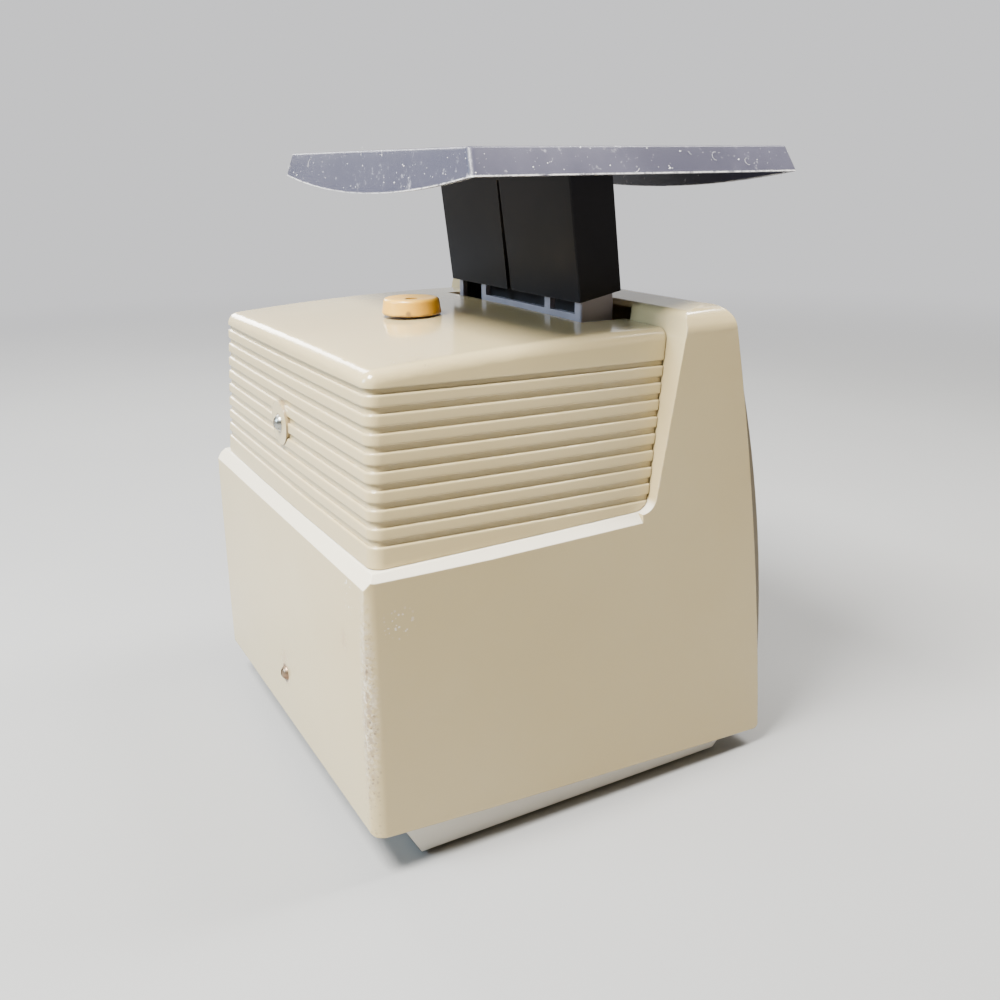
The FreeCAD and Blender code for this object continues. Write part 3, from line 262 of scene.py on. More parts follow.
def aged_plastic(name, base, tint, rough=0.16, groove_grime_and_shade=0.0, specks=1.0, wear=0.0, coat=0.3, ledge_highlight=0.0,
                 marks=(), rings=()):
    """Glossy moulded plastic: colour drift, specks, smudges, dirt and painted shade in seams, a painted
    highlight on the ledge, local marks.
    """
    look = Look(name)
    colour = look.mix(look.span(look.noise(9, 3), 0.3, 0.7), base, tint)
    cloud = look.noise(38, 4, 0.6)
    colour = look.mix(look.span(cloud, 0.4, 0.8, 0.0, 0.10), colour, shade(base, 0.8))
    spots = look.specks(150, 0.020 * specks, 0.07)
    flecks = look.specks(70, 0.035 * specks, 0.035)
    pale = look.product(look.specks(120, 0.03 * specks, 0.05), 0.45)
    colour = look.mix(pale, colour, (0.88, 0.85, 0.76))
    colour = look.mix(look.product(spots, 0.7), colour, (0.22, 0.15, 0.085))
    colour = look.mix(look.product(flecks, 0.85), colour, (0.07, 0.05, 0.035))
    if groove_grime_and_shade:
        # dirt and painted shade: seams darkened from ambient occlusion, with crumbs of dirt in them
        seam = look.crevice(0.0024)
        grime_and_shade = look.product(seam, groove_grime_and_shade, look.span(look.noise(160, 3), 0.2, 0.6, 0.6, 1.0))
        colour = look.mix(grime_and_shade, colour, (0.125, 0.088, 0.048))
        crumbs = look.product(look.crevice(0.004, 4), look.specks(520, 0.16, 0.3), groove_grime_and_shade)
        colour = look.mix(crumbs, colour, (0.10, 0.07, 0.04))
    if wear:
        rub = look.product(look.edges(0.0011), wear, look.span(look.noise(240, 3), 0.42, 0.62))
        colour = look.mix(rub, colour, (0.86, 0.82, 0.72))
    if ledge_highlight:
        # painted highlight: faces of the case's ledge that look up are made paler
        ledge = look.product(look.span(look.nz, 0.3, 0.75), look.span(look.z, LEDGE_TOP + 5 * MM, LEDGE_TOP))
        colour = look.mix(look.product(ledge, ledge_highlight), colour, (0.92, 0.88, 0.77))
    pitted = spots
    for mark in marks:
        colour, patch = add_mark(look, colour, mark)
        pitted = look.larger(pitted, patch)
    for ring in rings:
        colour = add_ring(look, colour, ring)
    dull = look.span(look.noise(12, 3, 0.5), 0.4, 0.8)
    rough_map = look.total(rough, look.product(dull, 0.06), look.product(pitted, 0.35))
    look.set(Base_Color=colour, Roughness=rough_map, Coat_Weight=coat, Coat_Roughness=0.07, IOR=1.5,
             Specular_IOR_Level=0.35)
    rounded = look.node("ShaderNodeBevel", samples=4)
    rounded.inputs["Radius"].default_value = 0.0007
    ripple = look.bump(look.noise(55, 2, 0.4), 0.00014, 0.3, rounded.outputs[0])
    pits = look.bump(look.total(look.product(pitted, -1.0), look.product(look.noise(2600, 2), 0.10)),
                     0.00005, 0.8, ripple)
    look.set(Normal=pits, Subsurface_Weight=0.05, Subsurface_Radius=(0.004, 0.003, 0.002),
             Subsurface_Scale=1.0)
    return look


def metal(name, base, rough, brushed, stain=None, grain=(1, 1, 30)):
    """Plated or turned metal with drifting tone, fine grain and darker worn patches."""
    look = Look(name)
    colour = look.mix(look.span(look.noise(60, 4), 0.35, 0.7), base, shade(base, 0.78))
    streak = look.noise(900, 3, 0.6, grain)
    colour = look.mix(look.product(look.span(streak, 0.4, 0.7), brushed), colour, shade(base, 1.25))
    if stain:
        rust = look.product(look.span(look.noise(420, 4, 0.6), 0.50, 0.64),
                            look.span(look.noise(110, 2), 0.35, 0.6))
        colour = look.mix(rust, colour, stain)
        look.set(Metallic=look.calc("SUBTRACT", 1.0, look.product(rust, 0.8)))
    else:
        look.set(Metallic=1.0)
    rough_map = look.total(rough, look.product(look.span(look.noise(130, 4), 0.4, 0.7), 0.16))
    look.set(Base_Color=colour, Roughness=rough_map)
    look.set(Normal=look.bump(look.total(look.product(streak, 0.6), look.noise(1500, 2)), 0.00003, 0.6))
    return look


def moulded(name, base, rough, dust):
    """Satin plastic with a fine moulded grain and a little settled dust."""
    look = Look(name)
    colour = look.mix(look.span(look.noise(50, 4), 0.35, 0.7), base, shade(base, 0.8))
    faces_up = look.span(look.nz, 0.0, 0.9)
    settled = look.product(faces_up, look.span(look.noise(210, 5, 0.7), 0.42, 0.7), dust)
    specks = look.product(look.specks(700, 0.10, 0.22), dust)
    colour = look.mix(look.larger(settled, specks), colour, (0.42, 0.41, 0.40))
    edge = look.product(look.edges(0.0006), look.span(look.noise(500, 2), 0.4, 0.65), 0.5)
    colour = look.mix(edge, colour, tuple(min(1, channel * 1.9 + 0.03) for channel in base))
    rough_map = look.total(rough, look.product(settled, 0.3), look.product(look.noise(80, 3), 0.12))
    look.set(Base_Color=colour, Roughness=rough_map)
    look.set(Normal=look.bump(look.noise(1900, 3), 0.00004, 0.7))
    return look


STEM_HALF_W = 0.0526        # just outside the stem's side walls
STEM_CLEAR = 0.010          # a soft border, well clear of the stem's front and rear walls
STEM_FRONT = -0.050
STEM_REAR = -0.005
BELOW_SKIRT = 0.2215        # no dust lies lower than this
SHEEN_START = 0.2236         # the skirt's painted sheen comes in between these two heights
SHEEN_FULL = 0.2258
DUST_FULL = 0.2290
WEAR_FULL = 0.2280
TRAY_SKIN = 0.2382          # above this is the tray's top skin, also over the stem


def clear_of_stem(look):
    """1 on the tray and its skirt, 0 on the stem below them."""
    aside = look.span(look.calc("ABSOLUTE", look.x), STEM_HALF_W, STEM_HALF_W + 1.4 * MM)
    above = look.span(look.z, TRAY_SKIN, TRAY_SKIN + 0.6 * MM)
    rear = look.span(look.y, STEM_REAR, STEM_REAR + STEM_CLEAR)
    front = look.span(look.y, STEM_FRONT, STEM_FRONT - STEM_CLEAR)
    return look.larger(look.larger(aside, above), look.larger(rear, front))


def pan_black():
    """Glossy black plastic: a painted sheen and dust on its skirt, pale edges partly wear and partly painted
    highlight, dark on its stem.
    """
    look = Look("pan_black")
    base = look.mix(look.span(look.noise(22, 3), 0.35, 0.7), (0.0125, 0.0122, 0.0145),
                    (0.0185, 0.0175, 0.0195))
    beside_stem = clear_of_stem(look)
    skirt = look.product(look.span(look.z, SHEEN_START, SHEEN_FULL), beside_stem)
    # painted reflection: the skirt's grey-lilac sheen, darker where it faces the rear and weaker on faces
    # that look up
    sheen_tone = look.mix(look.span(look.noise(30, 4, 0.6), 0.35, 0.68), (0.041, 0.039, 0.068),
                         (0.068, 0.065, 0.100))
    sheen_tone = look.mix(look.span(look.ny, 0.2, 0.7, 0.0, 0.75), sheen_tone, (0.027, 0.027, 0.050))
    sheen = look.product(skirt, look.span(look.nz, 0.80, 0.97, 0.92, 0.45))
    colour = look.mix(sheen, base, sheen_tone)
    dust = look.larger(look.specks(620, 0.06, 0.22), look.specks(1500, 0.07, 0.28))
    drift = look.span(look.noise(90, 2), 0.38, 0.6, 0.15, 1.0)
    dust = look.product(dust, drift, look.span(look.z, BELOW_SKIRT, DUST_FULL), beside_stem)
    colour = look.mix(look.product(dust, 0.8), colour, (0.74, 0.73, 0.76))
    edge = look.edges(0.0008, 0.992, 0.95, 6)
    # pale edges: partly wear, partly a painted highlight along the skirt's rims and the stem's edges
    wear = look.blend(beside_stem, 0.04, look.span(look.z, BELOW_SKIRT, WEAR_FULL, 0.06, 1.0))
    worn_and_glint = look.product(edge, look.span(look.noise(520, 4, 0.7), 0.34, 0.54), wear)
    colour = look.mix(look.product(worn_and_glint, 0.92), colour, (0.80, 0.78, 0.76))
    blotch = look.product(skirt, look.span(look.noise(240, 5, 0.7), 0.60, 0.72), 0.45)
    colour = look.mix(blotch, colour, (0.52, 0.51, 0.56))
    rough_map = look.total(look.blend(skirt, 0.30, 0.45),
                           look.product(look.span(look.noise(40, 4, 0.6), 0.4, 0.7), 0.06),
                           look.product(dust, 0.3))
    look.set(Base_Color=colour, Roughness=rough_map, Coat_Weight=look.product(skirt, 0.15),
             Coat_Roughness=0.25, Specular_IOR_Level=look.blend(skirt, 0.06, 0.4))
    grain = look.product(look.noise(1700, 3), look.blend(skirt, 0.3, 1.0))
    relief = look.total(grain, look.product(dust, 2.0), look.product(worn_and_glint, -2.0))
    look.set(Normal=look.bump(relief, 0.00003, 0.6))
    return look


HOLLOW_REAR = -0.0238       # the inside of the head's rear wall
HOLLOW_FRONT = -0.0363      # just inside its front face
HOLLOW_HALF_W = 0.0480


def carriage_grey():
    """Blue-grey moulded plastic, with painted shade, nearly black, inside its hollow."""
    look = moulded("blue_grey_head", (0.39, 0.355, 0.40), 0.4, 0.15)
    outside = look.bsdf.inputs["Base Color"].links[0].from_socket
    # painted shade: the inside of the hollow is made nearly black
    before_rear_wall = look.span(look.y, HOLLOW_REAR, HOLLOW_REAR - 0.8 * MM)
    behind_front_face = look.span(look.y, HOLLOW_FRONT, HOLLOW_FRONT + 0.7 * MM)
    between_sides = look.span(look.calc("ABSOLUTE", look.x), HOLLOW_HALF_W, HOLLOW_HALF_W - 1.0 * MM)
    hollow = look.product(before_rear_wall, behind_front_face, between_sides)
    look.set(Base_Color=look.mix(look.product(hollow, 0.93), outside, (0.016, 0.013, 0.012)))
    return look


def knob_yellow():
    """Yellowed plastic with a dark, dirty centre dimple and a chipped lower edge."""
    look = Look("yellow_knob")
    low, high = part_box("zero_knob")
    middle = (low + high) / 2
    from_axis = look.distance(look.calc("SUBTRACT", look.x, middle.x),
                              look.calc("SUBTRACT", look.y, middle.y))
    colour = look.mix(look.span(look.noise(70, 4), 0.35, 0.7), (0.68, 0.35, 0.026), (0.74, 0.41, 0.048))
    pale = look.product(look.span(look.nz, 0.5, 0.95), look.span(look.noise(260, 3), 0.35, 0.7, 0.4, 1.0))
    colour = look.mix(look.product(pale, 0.35), colour, (0.64, 0.40, 0.088))
    nick = look.near((middle.x - 0.0100, middle.y + 0.0060, low.z + 0.0012), 0.0005, 0.0015)
    colour = look.mix(look.product(nick, 0.85), colour, (0.20, 0.115, 0.05))
    ring = look.span(from_axis, 0.0034, 0.0018)
    ragged = look.product(ring, look.span(look.noise(500, 3), 0.25, 0.55, 0.5, 1.0))
    colour = look.mix(look.product(ragged, 0.85), colour, (0.13, 0.065, 0.028))
    rim = look.product(look.span(look.z, low.z + 0.0011, low.z + 0.0004),
                       look.span(look.noise(380, 3), 0.35, 0.6))
    colour = look.mix(look.product(rim, 0.75), colour, (0.22, 0.12, 0.05))
    spots = look.specks(420, 0.10, 0.16)
    colour = look.mix(look.product(spots, 0.7), colour, (0.20, 0.12, 0.06))
    look.set(Base_Color=colour, Roughness=look.total(0.29, look.product(look.noise(120, 4), 0.14)),
             Coat_Weight=0.2, Coat_Roughness=0.15, Subsurface_Weight=0.12,
             Subsurface_Radius=(0.004, 0.0025, 0.001))
    look.set(Normal=look.bump(look.total(look.noise(300, 3), look.product(spots, -1.5)), 0.00008, 0.6))
    return look


def clear_lens():
    """Clear, faintly scuffed plastic that lets the lamps' light straight through to the dial."""
    look = Look("clear_lens")
    scuff = look.span(look.noise(700, 3, 0.6, (1, 6, 1), (0.3, 0.2, 0.8)), 0.62, 0.72)
    look.set(Base_Color=(0.985, 0.99, 0.985), Roughness=look.total(0.02, look.product(scuff, 0.12)),
             IOR=1.47, Transmission_Weight=1.0, Normal=look.bump(look.noise(35, 2), 0.00005, 0.3))
    clear = look.node("ShaderNodeBsdfTransparent")
    path = look.node("ShaderNodeLightPath")
    join = look.node("ShaderNodeMixShader")
    output = look.tree.nodes["Material Output"]
    look.link(path.outputs["Is Shadow Ray"], join.inputs[0])
    look.link(look.bsdf.outputs[0], join.inputs[1])
    look.link(clear.outputs[0], join.inputs[2])
    look.link(join.outputs[0], output.inputs[0])
    return look


def enamel(name, base, rough):
    """Flat paint, ink or lint with a faint drift of tone and a few specks."""
    look = Look(name)
    colour = look.mix(look.span(look.noise(60, 4), 0.35, 0.7), base, shade(base, 0.9))
    spots = look.specks(260, 0.05, 0.12)
    colour = look.mix(look.product(spots, 0.5), colour, (0.30, 0.24, 0.16))
    look.set(Base_Color=colour, Roughness=look.total(rough, look.product(look.noise(90, 3), 0.12)))
    look.set(Normal=look.bump(look.noise(1400, 3), 0.00003, 0.5))
    return look


SURROUND = (0.93, 0.93, 0.95)        # the pale grey beyond the floor
FADE_START = 0.55           # how far from the object the floor starts to turn into the surround
FADE_END = 1.7


def backdrop(name):
    """Matt pale sheet that fades into the surround far from the object, so no horizon shows."""
    look = Look(name)
    tone = look.mix(look.span(look.noise(2.2, 3), 0.3, 0.7), (0.30, 0.30, 0.298), (0.32, 0.32, 0.317))
    look.set(Base_Color=tone, Roughness=0.85, Specular_IOR_Level=0.1,
             Normal=look.bump(look.noise(500, 3), 0.0002, 0.12))
    glow = look.node("ShaderNodeEmission")
    glow.inputs["Color"].default_value = (*SURROUND, 1)
    join = look.node("ShaderNodeMixShader")
    look.link(look.span(look.distance(look.x, look.y), FADE_START, FADE_END), join.inputs[0])
    look.link(look.bsdf.outputs[0], join.inputs[1])
    look.link(glow.outputs[0], join.inputs[2])
    look.link(join.outputs[0], look.tree.nodes["Material Output"].inputs[0])
    return look


REAR_CORNER = (-0.0872, 0.0862)      # the case's chipped upright edge, across and along
# a mark: spot, inner and outer reach, squeeze of each axis, grain, strength, tone
CASE_MARKS = (
    ((*REAR_CORNER, 0.070), 1.0 * MM, 6.0 * MM, (1, 1, 0.12), 580, 0.45, (0.84, 0.81, 0.73)),
    ((*REAR_CORNER, 0.064), 1.0 * MM, 5.5 * MM, (1, 1, 0.11), 460, 0.80, (0.30, 0.21, 0.12)),
    ((*REAR_CORNER, 0.060), 1.0 * MM, 6.5 * MM, (1, 1, 0.10), 820, 0.85, (0.18, 0.12, 0.07)),
    ((0.0025, 0.0870, 0.0405), 3.0 * MM, 7.5 * MM, (1, 1, 0.7), 300, 0.50, (0.46, 0.32, 0.18)),
    ((-0.0693, 0.0855, 0.0835), 0.5 * MM, 5.0 * MM, (1, 1, 0.8), 420, 0.60, (0.44, 0.30, 0.17)),
    ((-0.0742, 0.0850, 0.1030), 0.5 * MM, 9.0 * MM, (2, 1, 0.8), 760, 0.60, (0.90, 0.89, 0.85)),
    ((-0.0885, 0.0780, 0.0120), 0.5 * MM, 5.0 * MM, (1, 1, 1), 420, 0.60, (0.42, 0.27, 0.15)),
    ((-0.0900, 0.0736, 0.0947), 1.0 * MM, 8.0 * MM, (1, 1, 1), 780, 0.55, (0.88, 0.85, 0.78)),
    ((-0.0900, -0.0349, 0.1315), 0.3 * MM, 3.5 * MM, (1, 1, 1), 900, 0.85, (0.20, 0.13, 0.07)),
    ((-0.0900, 0.0016, 0.0935), 0.3 * MM, 2.5 * MM, (1, 1, 1), 900, 0.85, (0.18, 0.12, 0.07)),
    ((-0.0880, -0.0556, 0.1780), 0.3 * MM, 2.5 * MM, (1, 1, 1), 900, 0.85, (0.16, 0.11, 0.07)),
)
# a ring: centre, radius, width, strength, tone
COVER_RINGS = (
    ((0.0025, 0.0790, 0.1426), 8.6 * MM, 0.45 * MM, 0.75, (0.25, 0.18, 0.10)),
    ((0.0025, 0.0790, 0.1426), 3.5 * MM, 0.6 * MM, 0.7, (0.20, 0.14, 0.08)),
)
CASE_RINGS = (
    ((0.0025, 0.0870, 0.0380), 3.6 * MM, 0.8 * MM, 0.85, (0.24, 0.14, 0.07)),
)
COVER_MARKS = (
    ((-0.0720, 0.0580, 0.1785), 1.0 * MM, 10.0 * MM, (1, 1, 0.5), 900, 0.85, (0.10, 0.065, 0.035)),
    ((-0.0790, 0.0660, 0.1770), 0.6 * MM, 1.5 * MM, (1, 0.6, 1), 300, 0.90, (0.16, 0.11, 0.06)),
    ((-0.0423, 0.0299, 0.1790), 0.5 * MM, 5.0 * MM, (1, 1, 0.5), 1000, 0.70, (0.12, 0.08, 0.045)),
    ((-0.0720, 0.0810, 0.1130), 0.5 * MM, 12.0 * MM, (1, 1, 4), 620, 0.85, (0.20, 0.13, 0.07)),
)


LOOKS = {
    "ivory_case": aged_plastic("ivory_case", (0.545, 0.429, 0.214), (0.575, 0.463, 0.246), groove_grime_and_shade=0.45,
                               coat=0.4, wear=0.2, ledge_highlight=0.7, marks=CASE_MARKS, rings=CASE_RINGS),
    "ivory_cover": aged_plastic("ivory_cover", (0.535, 0.424, 0.215), (0.565, 0.460, 0.248), groove_grime_and_shade=1.0,
                                coat=0.45, specks=1.2, wear=0.1, marks=COVER_MARKS, rings=COVER_RINGS),
    "cream_base": aged_plastic("cream_base", (0.68, 0.64, 0.56), (0.71, 0.675, 0.60), 0.35, groove_grime_and_shade=0.5,
                               coat=0.1),
    "lint": enamel("lint", (0.80, 0.79, 0.80), 0.7),
    "foot_rubber": moulded("foot_rubber", (0.03, 0.03, 0.03), 0.75, 0.4),
    "screw_steel": metal("screw_steel", (0.62, 0.61, 0.58), 0.3, 0.4),
    "plated_screw": metal("plated_screw", (0.40, 0.40, 0.36), 0.2, 0.3, (0.12, 0.08, 0.05)),
    "dull_screw": metal("dull_screw", (0.36, 0.25, 0.16), 0.36, 0.3, (0.16, 0.065, 0.025)),
    "bronze_bezel": moulded("bronze_bezel", (0.200, 0.158, 0.095), 0.32, 0.15),
    "clear_lens": clear_lens(),
    "dial_white": enamel("dial_white", (0.82, 0.80, 0.74), 0.5),
    "dial_ink": enamel("dial_ink", (0.018, 0.018, 0.02), 0.45),
    "zinc_steel": metal("zinc_steel", (0.58, 0.58, 0.57), 0.34, 0.35, (0.22, 0.16, 0.10)),
    "pin_steel": metal("pin_steel", (0.66, 0.65, 0.63), 0.22, 0.5, None, (30, 1, 1)),
    "brass": metal("brass", (0.72, 0.53, 0.22), 0.25, 0.4),
    "blue_grey_head": carriage_grey(),
    "black_pan": pan_black(),
    "white_nylon": moulded("white_nylon", (0.74, 0.72, 0.64), 0.42, 0.1),
    "red_pointer": enamel("red_pointer", (0.55, 0.035, 0.02), 0.35),
    "yellow_knob": knob_yellow(),
    "spring_steel": metal("spring_steel", (0.42, 0.42, 0.42), 0.28, 0.4),
}
SLOT_OF = {item["node"]: item["material_slot"] for item in frame["record"]["subparts"]}


def add_object(name, data):
    made = bpy.data.objects.new(name, data)
    bpy.context.scene.collection.objects.link(made)
    return made


def add_piece(name, mesh, look_name, body):
    """A visible piece in one look, riding on a body."""
    piece = add_object(name, mesh)
    mesh.materials.append(LOOKS[look_name].mat)
    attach(piece, body)
    return piece


# ---- shells: the CAD shapes, welded and smooth shaded --------------------------------------------
SHARP_ANGLE = math.radians(32)
WELD = 0.004 * MM
SLIVER = 0.002 * MM


def smooth_copy(node):
    """A welded copy of a CAD node's mesh whose curved faces shade smoothly; it stands for that node."""
    source = NODES[node]
    mesh = bpy.data.meshes.new(node + "_surface")
    work = bmesh.new()
    work.from_mesh(source.data)
    bmesh.ops.remove_doubles(work, verts=work.verts, dist=WELD)
    bmesh.ops.dissolve_degenerate(work, edges=work.edges, dist=SLIVER)
    for face in work.faces:
        face.smooth = True
    for edge in work.edges:
        sharp = len(edge.link_faces) != 2 or edge.calc_face_angle(0) > SHARP_ANGLE
        edge.smooth = not sharp
    work.to_mesh(mesh)
    work.free()
    piece = add_piece(mesh.name, mesh, SLOT_OF[node], source["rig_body"])
    weighted = piece.modifiers.new("normals", "WEIGHTED_NORMAL")
    weighted.keep_sharp = True
    weighted.weight = 90
    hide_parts(node)


for node in sorted(NODES):
    smooth_copy(node)


# ---- dial printing -------------------------------------------------------------------------------
def dial_matrix(height):
    """Places x-right, y-up drawings on the dial face."""
    pivot = JOINTS["pointer_turn"]
    out = Vector(pivot["axis"]).normalized()
    right = Vector((1, 0, 0))
    up = out.cross(right)
    matrix = Matrix((right, up, out)).transposed().to_4x4()
    matrix.translation = Vector(pivot["pos_m"]) + out * height
    return matrix


DIAL_FACE = -7.0 * MM       # the dial plate's face, along the pointer's axis
INK = 0.06 * MM             # how thick the printing stands
SWEEP = math.radians(240)
REST = math.radians(120)    # the zero mark's angle, counted anticlockwise from the top
FULL_SCALE = 10
STEPS = 100
TICK_OUTER = 52.6 * MM
ARC_INNER = 52.5 * MM
ARC_OUTER = 52.95 * MM
ARC_STEPS = 120
NUMBER_REACH = 39.5 * MM
NUMBER_SIZE = 9.5 * MM


def dial_direction(share):
    """Unit vector from the dial's centre towards a share of full scale."""
    angle = REST - SWEEP * share
    return Vector((-math.sin(angle), math.cos(angle), 0))


def tick_size(step):
    """A tick's inner radius and half width."""
    if step % 10 == 0:
        return 45.5 * MM, 0.55 * MM
    if step % 5 == 0:
        return 47.5 * MM, 0.35 * MM
    return 49.5 * MM, 0.18 * MM


def add_ticks(work):
    for step in range(STEPS + 1):
        inner, half = tick_size(step)
        along = dial_direction(step / STEPS)
        across = Vector((along.y, -along.x, 0))
        ring = []
        for level in (0, INK):
            for reach, side in ((inner, -half), (inner, half), (TICK_OUTER, half), (TICK_OUTER, -half)):
                ring.append(work.verts.new(along * reach + across * side + Vector((0, 0, level))))
        work.faces.new(ring[0:4])
        work.faces.new(ring[4:8])
        for index in range(4):
            follow = (index + 1) % 4
            work.faces.new((ring[index], ring[follow], ring[4 + follow], ring[4 + index]))


def add_arc(work):
    arc = []
    for index in range(ARC_STEPS + 1):
        along = dial_direction(index / ARC_STEPS)
        row = [work.verts.new(along * reach + Vector((0, 0, level)))
               for level in (0, INK) for reach in (ARC_INNER, ARC_OUTER)]
        arc.append(row)
    for first, second in zip(arc, arc[1:]):
        for a, b in ((0, 1), (1, 3), (3, 2), (2, 0)):
            work.faces.new((first[a], first[b], second[b], second[a]))
    for row in (arc[0], arc[-1]):
        work.faces.new((row[0], row[1], row[3], row[2]))


def tick_mesh():
    work = bmesh.new()
    add_ticks(work)
    add_arc(work)
    bmesh.ops.recalc_face_normals(work, faces=work.faces)
    mesh = bpy.data.meshes.new("dial_ticks")
    work.to_mesh(mesh)
    work.free()
    return mesh


def number_mesh():
    work = bmesh.new()
    for value in range(FULL_SCALE + 1):
        curve = bpy.data.curves.new("number", "FONT")
        curve.body = str(value)
        curve.size = NUMBER_SIZE
        curve.extrude = INK / 2
        curve.align_x = "CENTER"
        curve.align_y = "CENTER"
        curve.resolution_u = 4
        holder = add_object("number", curve)
        bpy.context.view_layer.update()
        shape = holder.to_mesh()
        spot = dial_direction(value / FULL_SCALE) * NUMBER_REACH + Vector((0, 0, INK / 2))
        shape.transform(Matrix.Translation(spot))
        work.from_mesh(shape)
        holder.to_mesh_clear()
        bpy.data.objects.remove(holder)
    mesh = bpy.data.meshes.new("dial_numbers")
    work.to_mesh(mesh)
    work.free()
    return mesh


for mesh in (tick_mesh(), number_mesh()):
    mesh.transform(dial_matrix(DIAL_FACE))
    add_piece(mesh.name, mesh, "dial_ink", "case")


# ---- dust and lint on the pan --------------------------------------------------------------------
SKIRT_FACES = 0.2262        # faces centred higher than this may be part of the skirt
OUTWARD = 0.02
UPRIGHT = 0.8
CRUMBS = 150
HAIRS = 16
HAIR_STEPS = 12


def pan_skirt_spots(count):
    """Random points on the outside of the pan's skirt, each with its face's outward normal."""
    mesh = NODES["weighing_pan"].data
    place = NODES["weighing_pan"].matrix_world
    middle = sum((Vector(corner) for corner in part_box("weighing_pan")), Vector()) / 2
    faces, sizes = [], []
    for face in mesh.polygons:
        centre = place @ face.center
        normal = (place.to_3x3() @ face.normal).normalized()
        outward = normal.x * (centre.x - middle.x) + normal.y * (centre.y - middle.y)
        if centre.z > SKIRT_FACES and outward > OUTWARD and abs(normal.z) < UPRIGHT:
            faces.append((face, normal))
            sizes.append(face.area)
    spots = []
    for face, normal in random.choices(faces, sizes, k=count):
        corners = [place @ mesh.vertices[index].co for index in face.vertices]
        weights = [random.random() + 0.01 for _ in corners]
        spot = sum((corner * weight for corner, weight in zip(corners, weights)), Vector()) / sum(weights)
        spots.append((spot, normal))
    return spots


def speck(work, spot, normal, size):
    """A flattened irregular crumb lying on the surface."""
    side = normal.orthogonal().normalized()
    other = normal.cross(side)
    base, top = [], []
    sides = 6
    for index in range(sides):
        angle = 2 * math.pi * index / sides
        reach = size * random.uniform(0.55, 1.2)
        offset = side * math.cos(angle) * reach + other * math.sin(angle) * reach
        base.append(work.verts.new(spot + offset - normal * size * 0.2))
        top.append(work.verts.new(spot + offset * 0.6 + normal * size * random.uniform(0.25, 0.45)))
    work.faces.new(base[::-1])
    work.faces.new(top)
    for index in range(sides):
        follow = (index + 1) % sides
        work.faces.new((base[index], base[follow], top[follow], top[index]))


def fibre(work, path, radius):
    """A closed thin tube along a list of points."""
    rings = []
    sides = 5
    for index, point in enumerate(path):
        ahead = path[min(index + 1, len(path) - 1)] - path[max(index - 1, 0)]
        along = ahead.normalized()
        side = along.orthogonal().normalized()
        other = along.cross(side)
        rings.append([work.verts.new(point + (side * math.cos(2 * math.pi * k / sides)
                                              + other * math.sin(2 * math.pi * k / sides)) * radius)
                      for k in range(sides)])
    for first, second in zip(rings, rings[1:]):
        for k in range(sides):
            follow = (k + 1) % sides
            work.faces.new((first[k], first[follow], second[follow], second[k]))
    work.faces.new(rings[0][::-1])
    work.faces.new(rings[-1])


def settle_on_pan(name, work):
    bmesh.ops.recalc_face_normals(work, faces=work.faces)
    mesh = bpy.data.meshes.new(name)
    work.to_mesh(mesh)
    work.free()
    add_piece(name, mesh, "lint", "pan")


def dust_on_pan():
    work = bmesh.new()
    for spot, normal in pan_skirt_spots(CRUMBS):
        speck(work, spot, normal, random.uniform(0.10, 0.34) * MM * random.choice((1, 1, 1, 1.5)))
    settle_on_pan("pan_dust", work)


def lint_on_pan():
    work = bmesh.new()
    for spot, normal in pan_skirt_spots(HAIRS):
        side = normal.orthogonal().normalized()
        other = normal.cross(side)
        length = random.uniform(1.5, 5.0) * MM
        heading = random.uniform(0, 2 * math.pi)
        bend = random.uniform(-4.0, 4.0)
        point = spot + normal * 0.12 * MM
        path = [point.copy()]
        for index in range(HAIR_STEPS):
            angle = heading + bend * index / HAIR_STEPS
            step = (side * math.cos(angle) + other * math.sin(angle)) * length / HAIR_STEPS
            point = point + step + normal * math.sin(math.pi * index / HAIR_STEPS) * 0.04 * MM
            path.append(point.copy())
        fibre(work, path, 0.05 * MM)
    settle_on_pan("pan_lint", work)


dust_on_pan()
lint_on_pan()


# ---- floor, light and camera ---------------------------------------------------------------------
FLOOR_HALF = 6.0
AIM = (0, 0, 0.12)          # the lamps point at the middle of the object
KEY_TONE = (1.0, 0.985, 0.95)
# a lamp: name, place, size, power in watts, colour
LAMPS = (
    ("key", (-0.14, 0.55, 1.10), (0.4, 0.4), 62, KEY_TONE),
    ("top_front", (-0.10, -0.55, 1.15), (0.2, 0.5), 20, KEY_TONE),
    ("rear_left", (0.35, 1.25, 0.70), (0.5, 0.4), 16, (0.60, 0.80, 1.0)),
    ("far_side", (1.2, 0.1, 0.75), (0.3, 0.7), 12, (1.0, 0.99, 0.97)),
    ("side_fill", (-0.75, -0.60, 0.42), (0.4, 0.5), 0.8, (1.0, 0.80, 0.52)),
    ("front_fill", (0.5, -1.4, 0.8), (0.9, 0.9), 3, (1.0, 0.98, 0.96)),
)
EYE = (-0.3613, 0.1878, 0.23505)
HEADING = math.radians(-119.192)
DIP = math.radians(18.575)
ROLL = math.radians(0.667)
LENS_MM = 36.04
FAR_SIDE = (0.873, -0.488, 0.0)      # level, the way the camera looks
NEAR_TONE = (0.10, 0.09, 0.07)


def floor():
    corners = [(x * FLOOR_HALF, y * FLOOR_HALF, 0) for x, y in ((-1, -1), (1, -1), (1, 1), (-1, 1))]
    mesh = bpy.data.meshes.new("floor")
    mesh.from_pydata(corners, [], [(0, 1, 2, 3)])
    mesh.materials.append(backdrop("floor_pale").mat)
    add_object("floor", mesh)


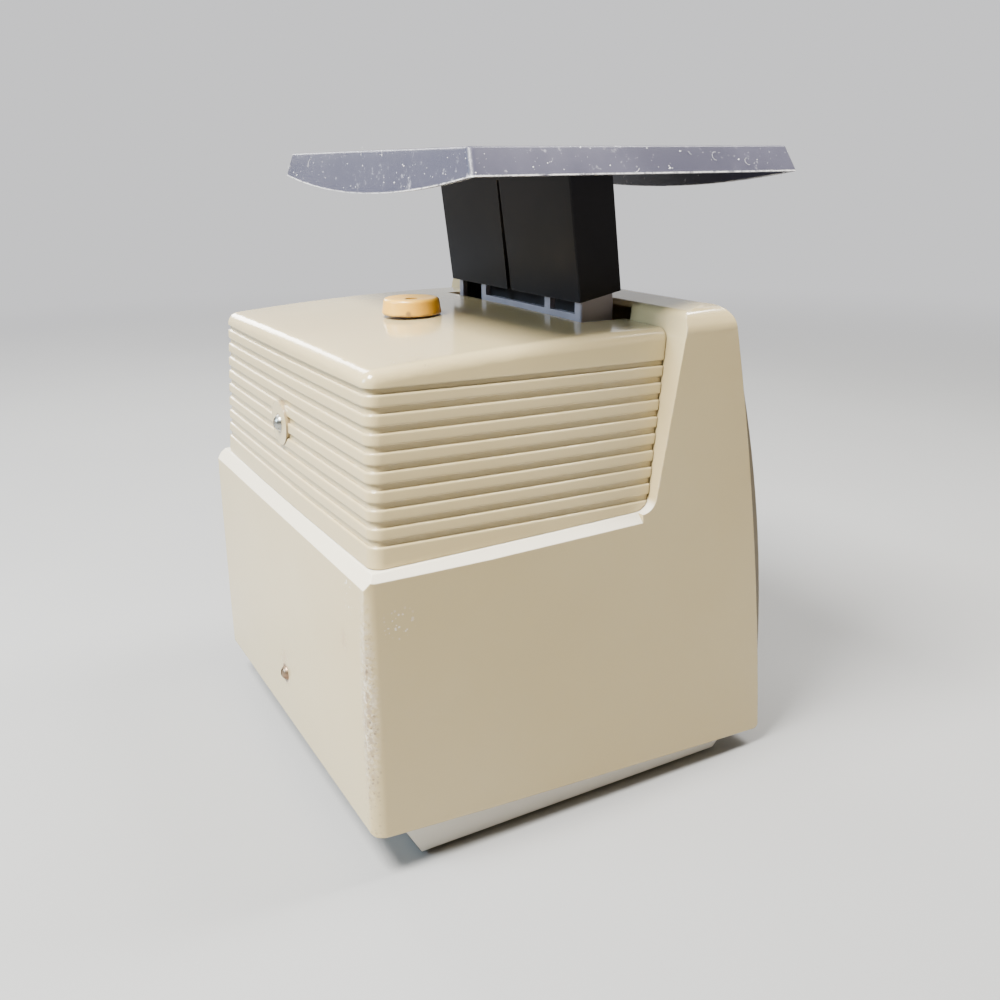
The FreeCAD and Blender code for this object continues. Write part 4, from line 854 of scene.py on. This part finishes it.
def area_light(name, spot, size, power, colour):
    data = bpy.data.lights.new(name, "AREA")
    data.shape = "RECTANGLE"
    data.size, data.size_y = size
    data.energy = power
    data.color = colour
    lamp = add_object(name, data)
    lamp.location = spot
    lamp.rotation_euler = (Vector(AIM) - Vector(spot)).to_track_quat("-Z", "Y").to_euler()
    lamp.visible_camera = False


def camera():
    data = bpy.data.cameras.new("camera")
    data.sensor_width = 36.0
    data.lens = LENS_MM
    data.clip_start = 0.01
    eye = add_object("camera", data)
    eye.location = EYE
    level = Matrix.Rotation(HEADING, 4, "Z") @ Matrix.Rotation(math.radians(90) - DIP, 4, "X")
    eye.rotation_euler = (level @ Matrix.Rotation(-ROLL, 4, "Z")).to_euler()
    bpy.context.scene.camera = eye


def surround():
    """Plain and pale wherever a camera looks; as light, bright on the far side and dim on the near side."""
    world = bpy.data.worlds.new("studio")
    world.use_nodes = True
    tree = world.node_tree
    place = tree.nodes.new("ShaderNodeTexCoord")
    along = tree.nodes.new("ShaderNodeVectorMath")
    along.operation = "DOT_PRODUCT"
    along.inputs[1].default_value = FAR_SIDE
    fade = tree.nodes.new("ShaderNodeMapRange")
    fade.interpolation_type = "SMOOTHSTEP"
    for index, value in ((1, -0.2), (2, 0.62), (3, 0.0), (4, 1.0)):
        fade.inputs[index].default_value = value
    tone = tree.nodes.new("ShaderNodeMix")
    tone.data_type = "RGBA"
    tone.inputs[6].default_value = (*NEAR_TONE, 1)
    tone.inputs[7].default_value = (*SURROUND, 1)
    seen = tree.nodes.new("ShaderNodeLightPath")
    factor = tree.nodes.new("ShaderNodeMath")
    factor.operation = "MAXIMUM"
    tree.links.new(place.outputs["Generated"], along.inputs[0])
    tree.links.new(along.outputs["Value"], fade.inputs[0])
    tree.links.new(fade.outputs[0], factor.inputs[0])
    tree.links.new(seen.outputs["Is Camera Ray"], factor.inputs[1])
    tree.links.new(factor.outputs[0], tone.inputs[0])
    tree.links.new(tone.outputs[2], tree.nodes["Background"].inputs[0])
    tree.nodes["Background"].inputs[1].default_value = 1.0
    bpy.context.scene.world = world


floor()
surround()
for lamp_name, lamp_place, lamp_size, watts, lamp_colour in LAMPS:
    area_light(lamp_name, lamp_place, lamp_size, watts, lamp_colour)
camera()
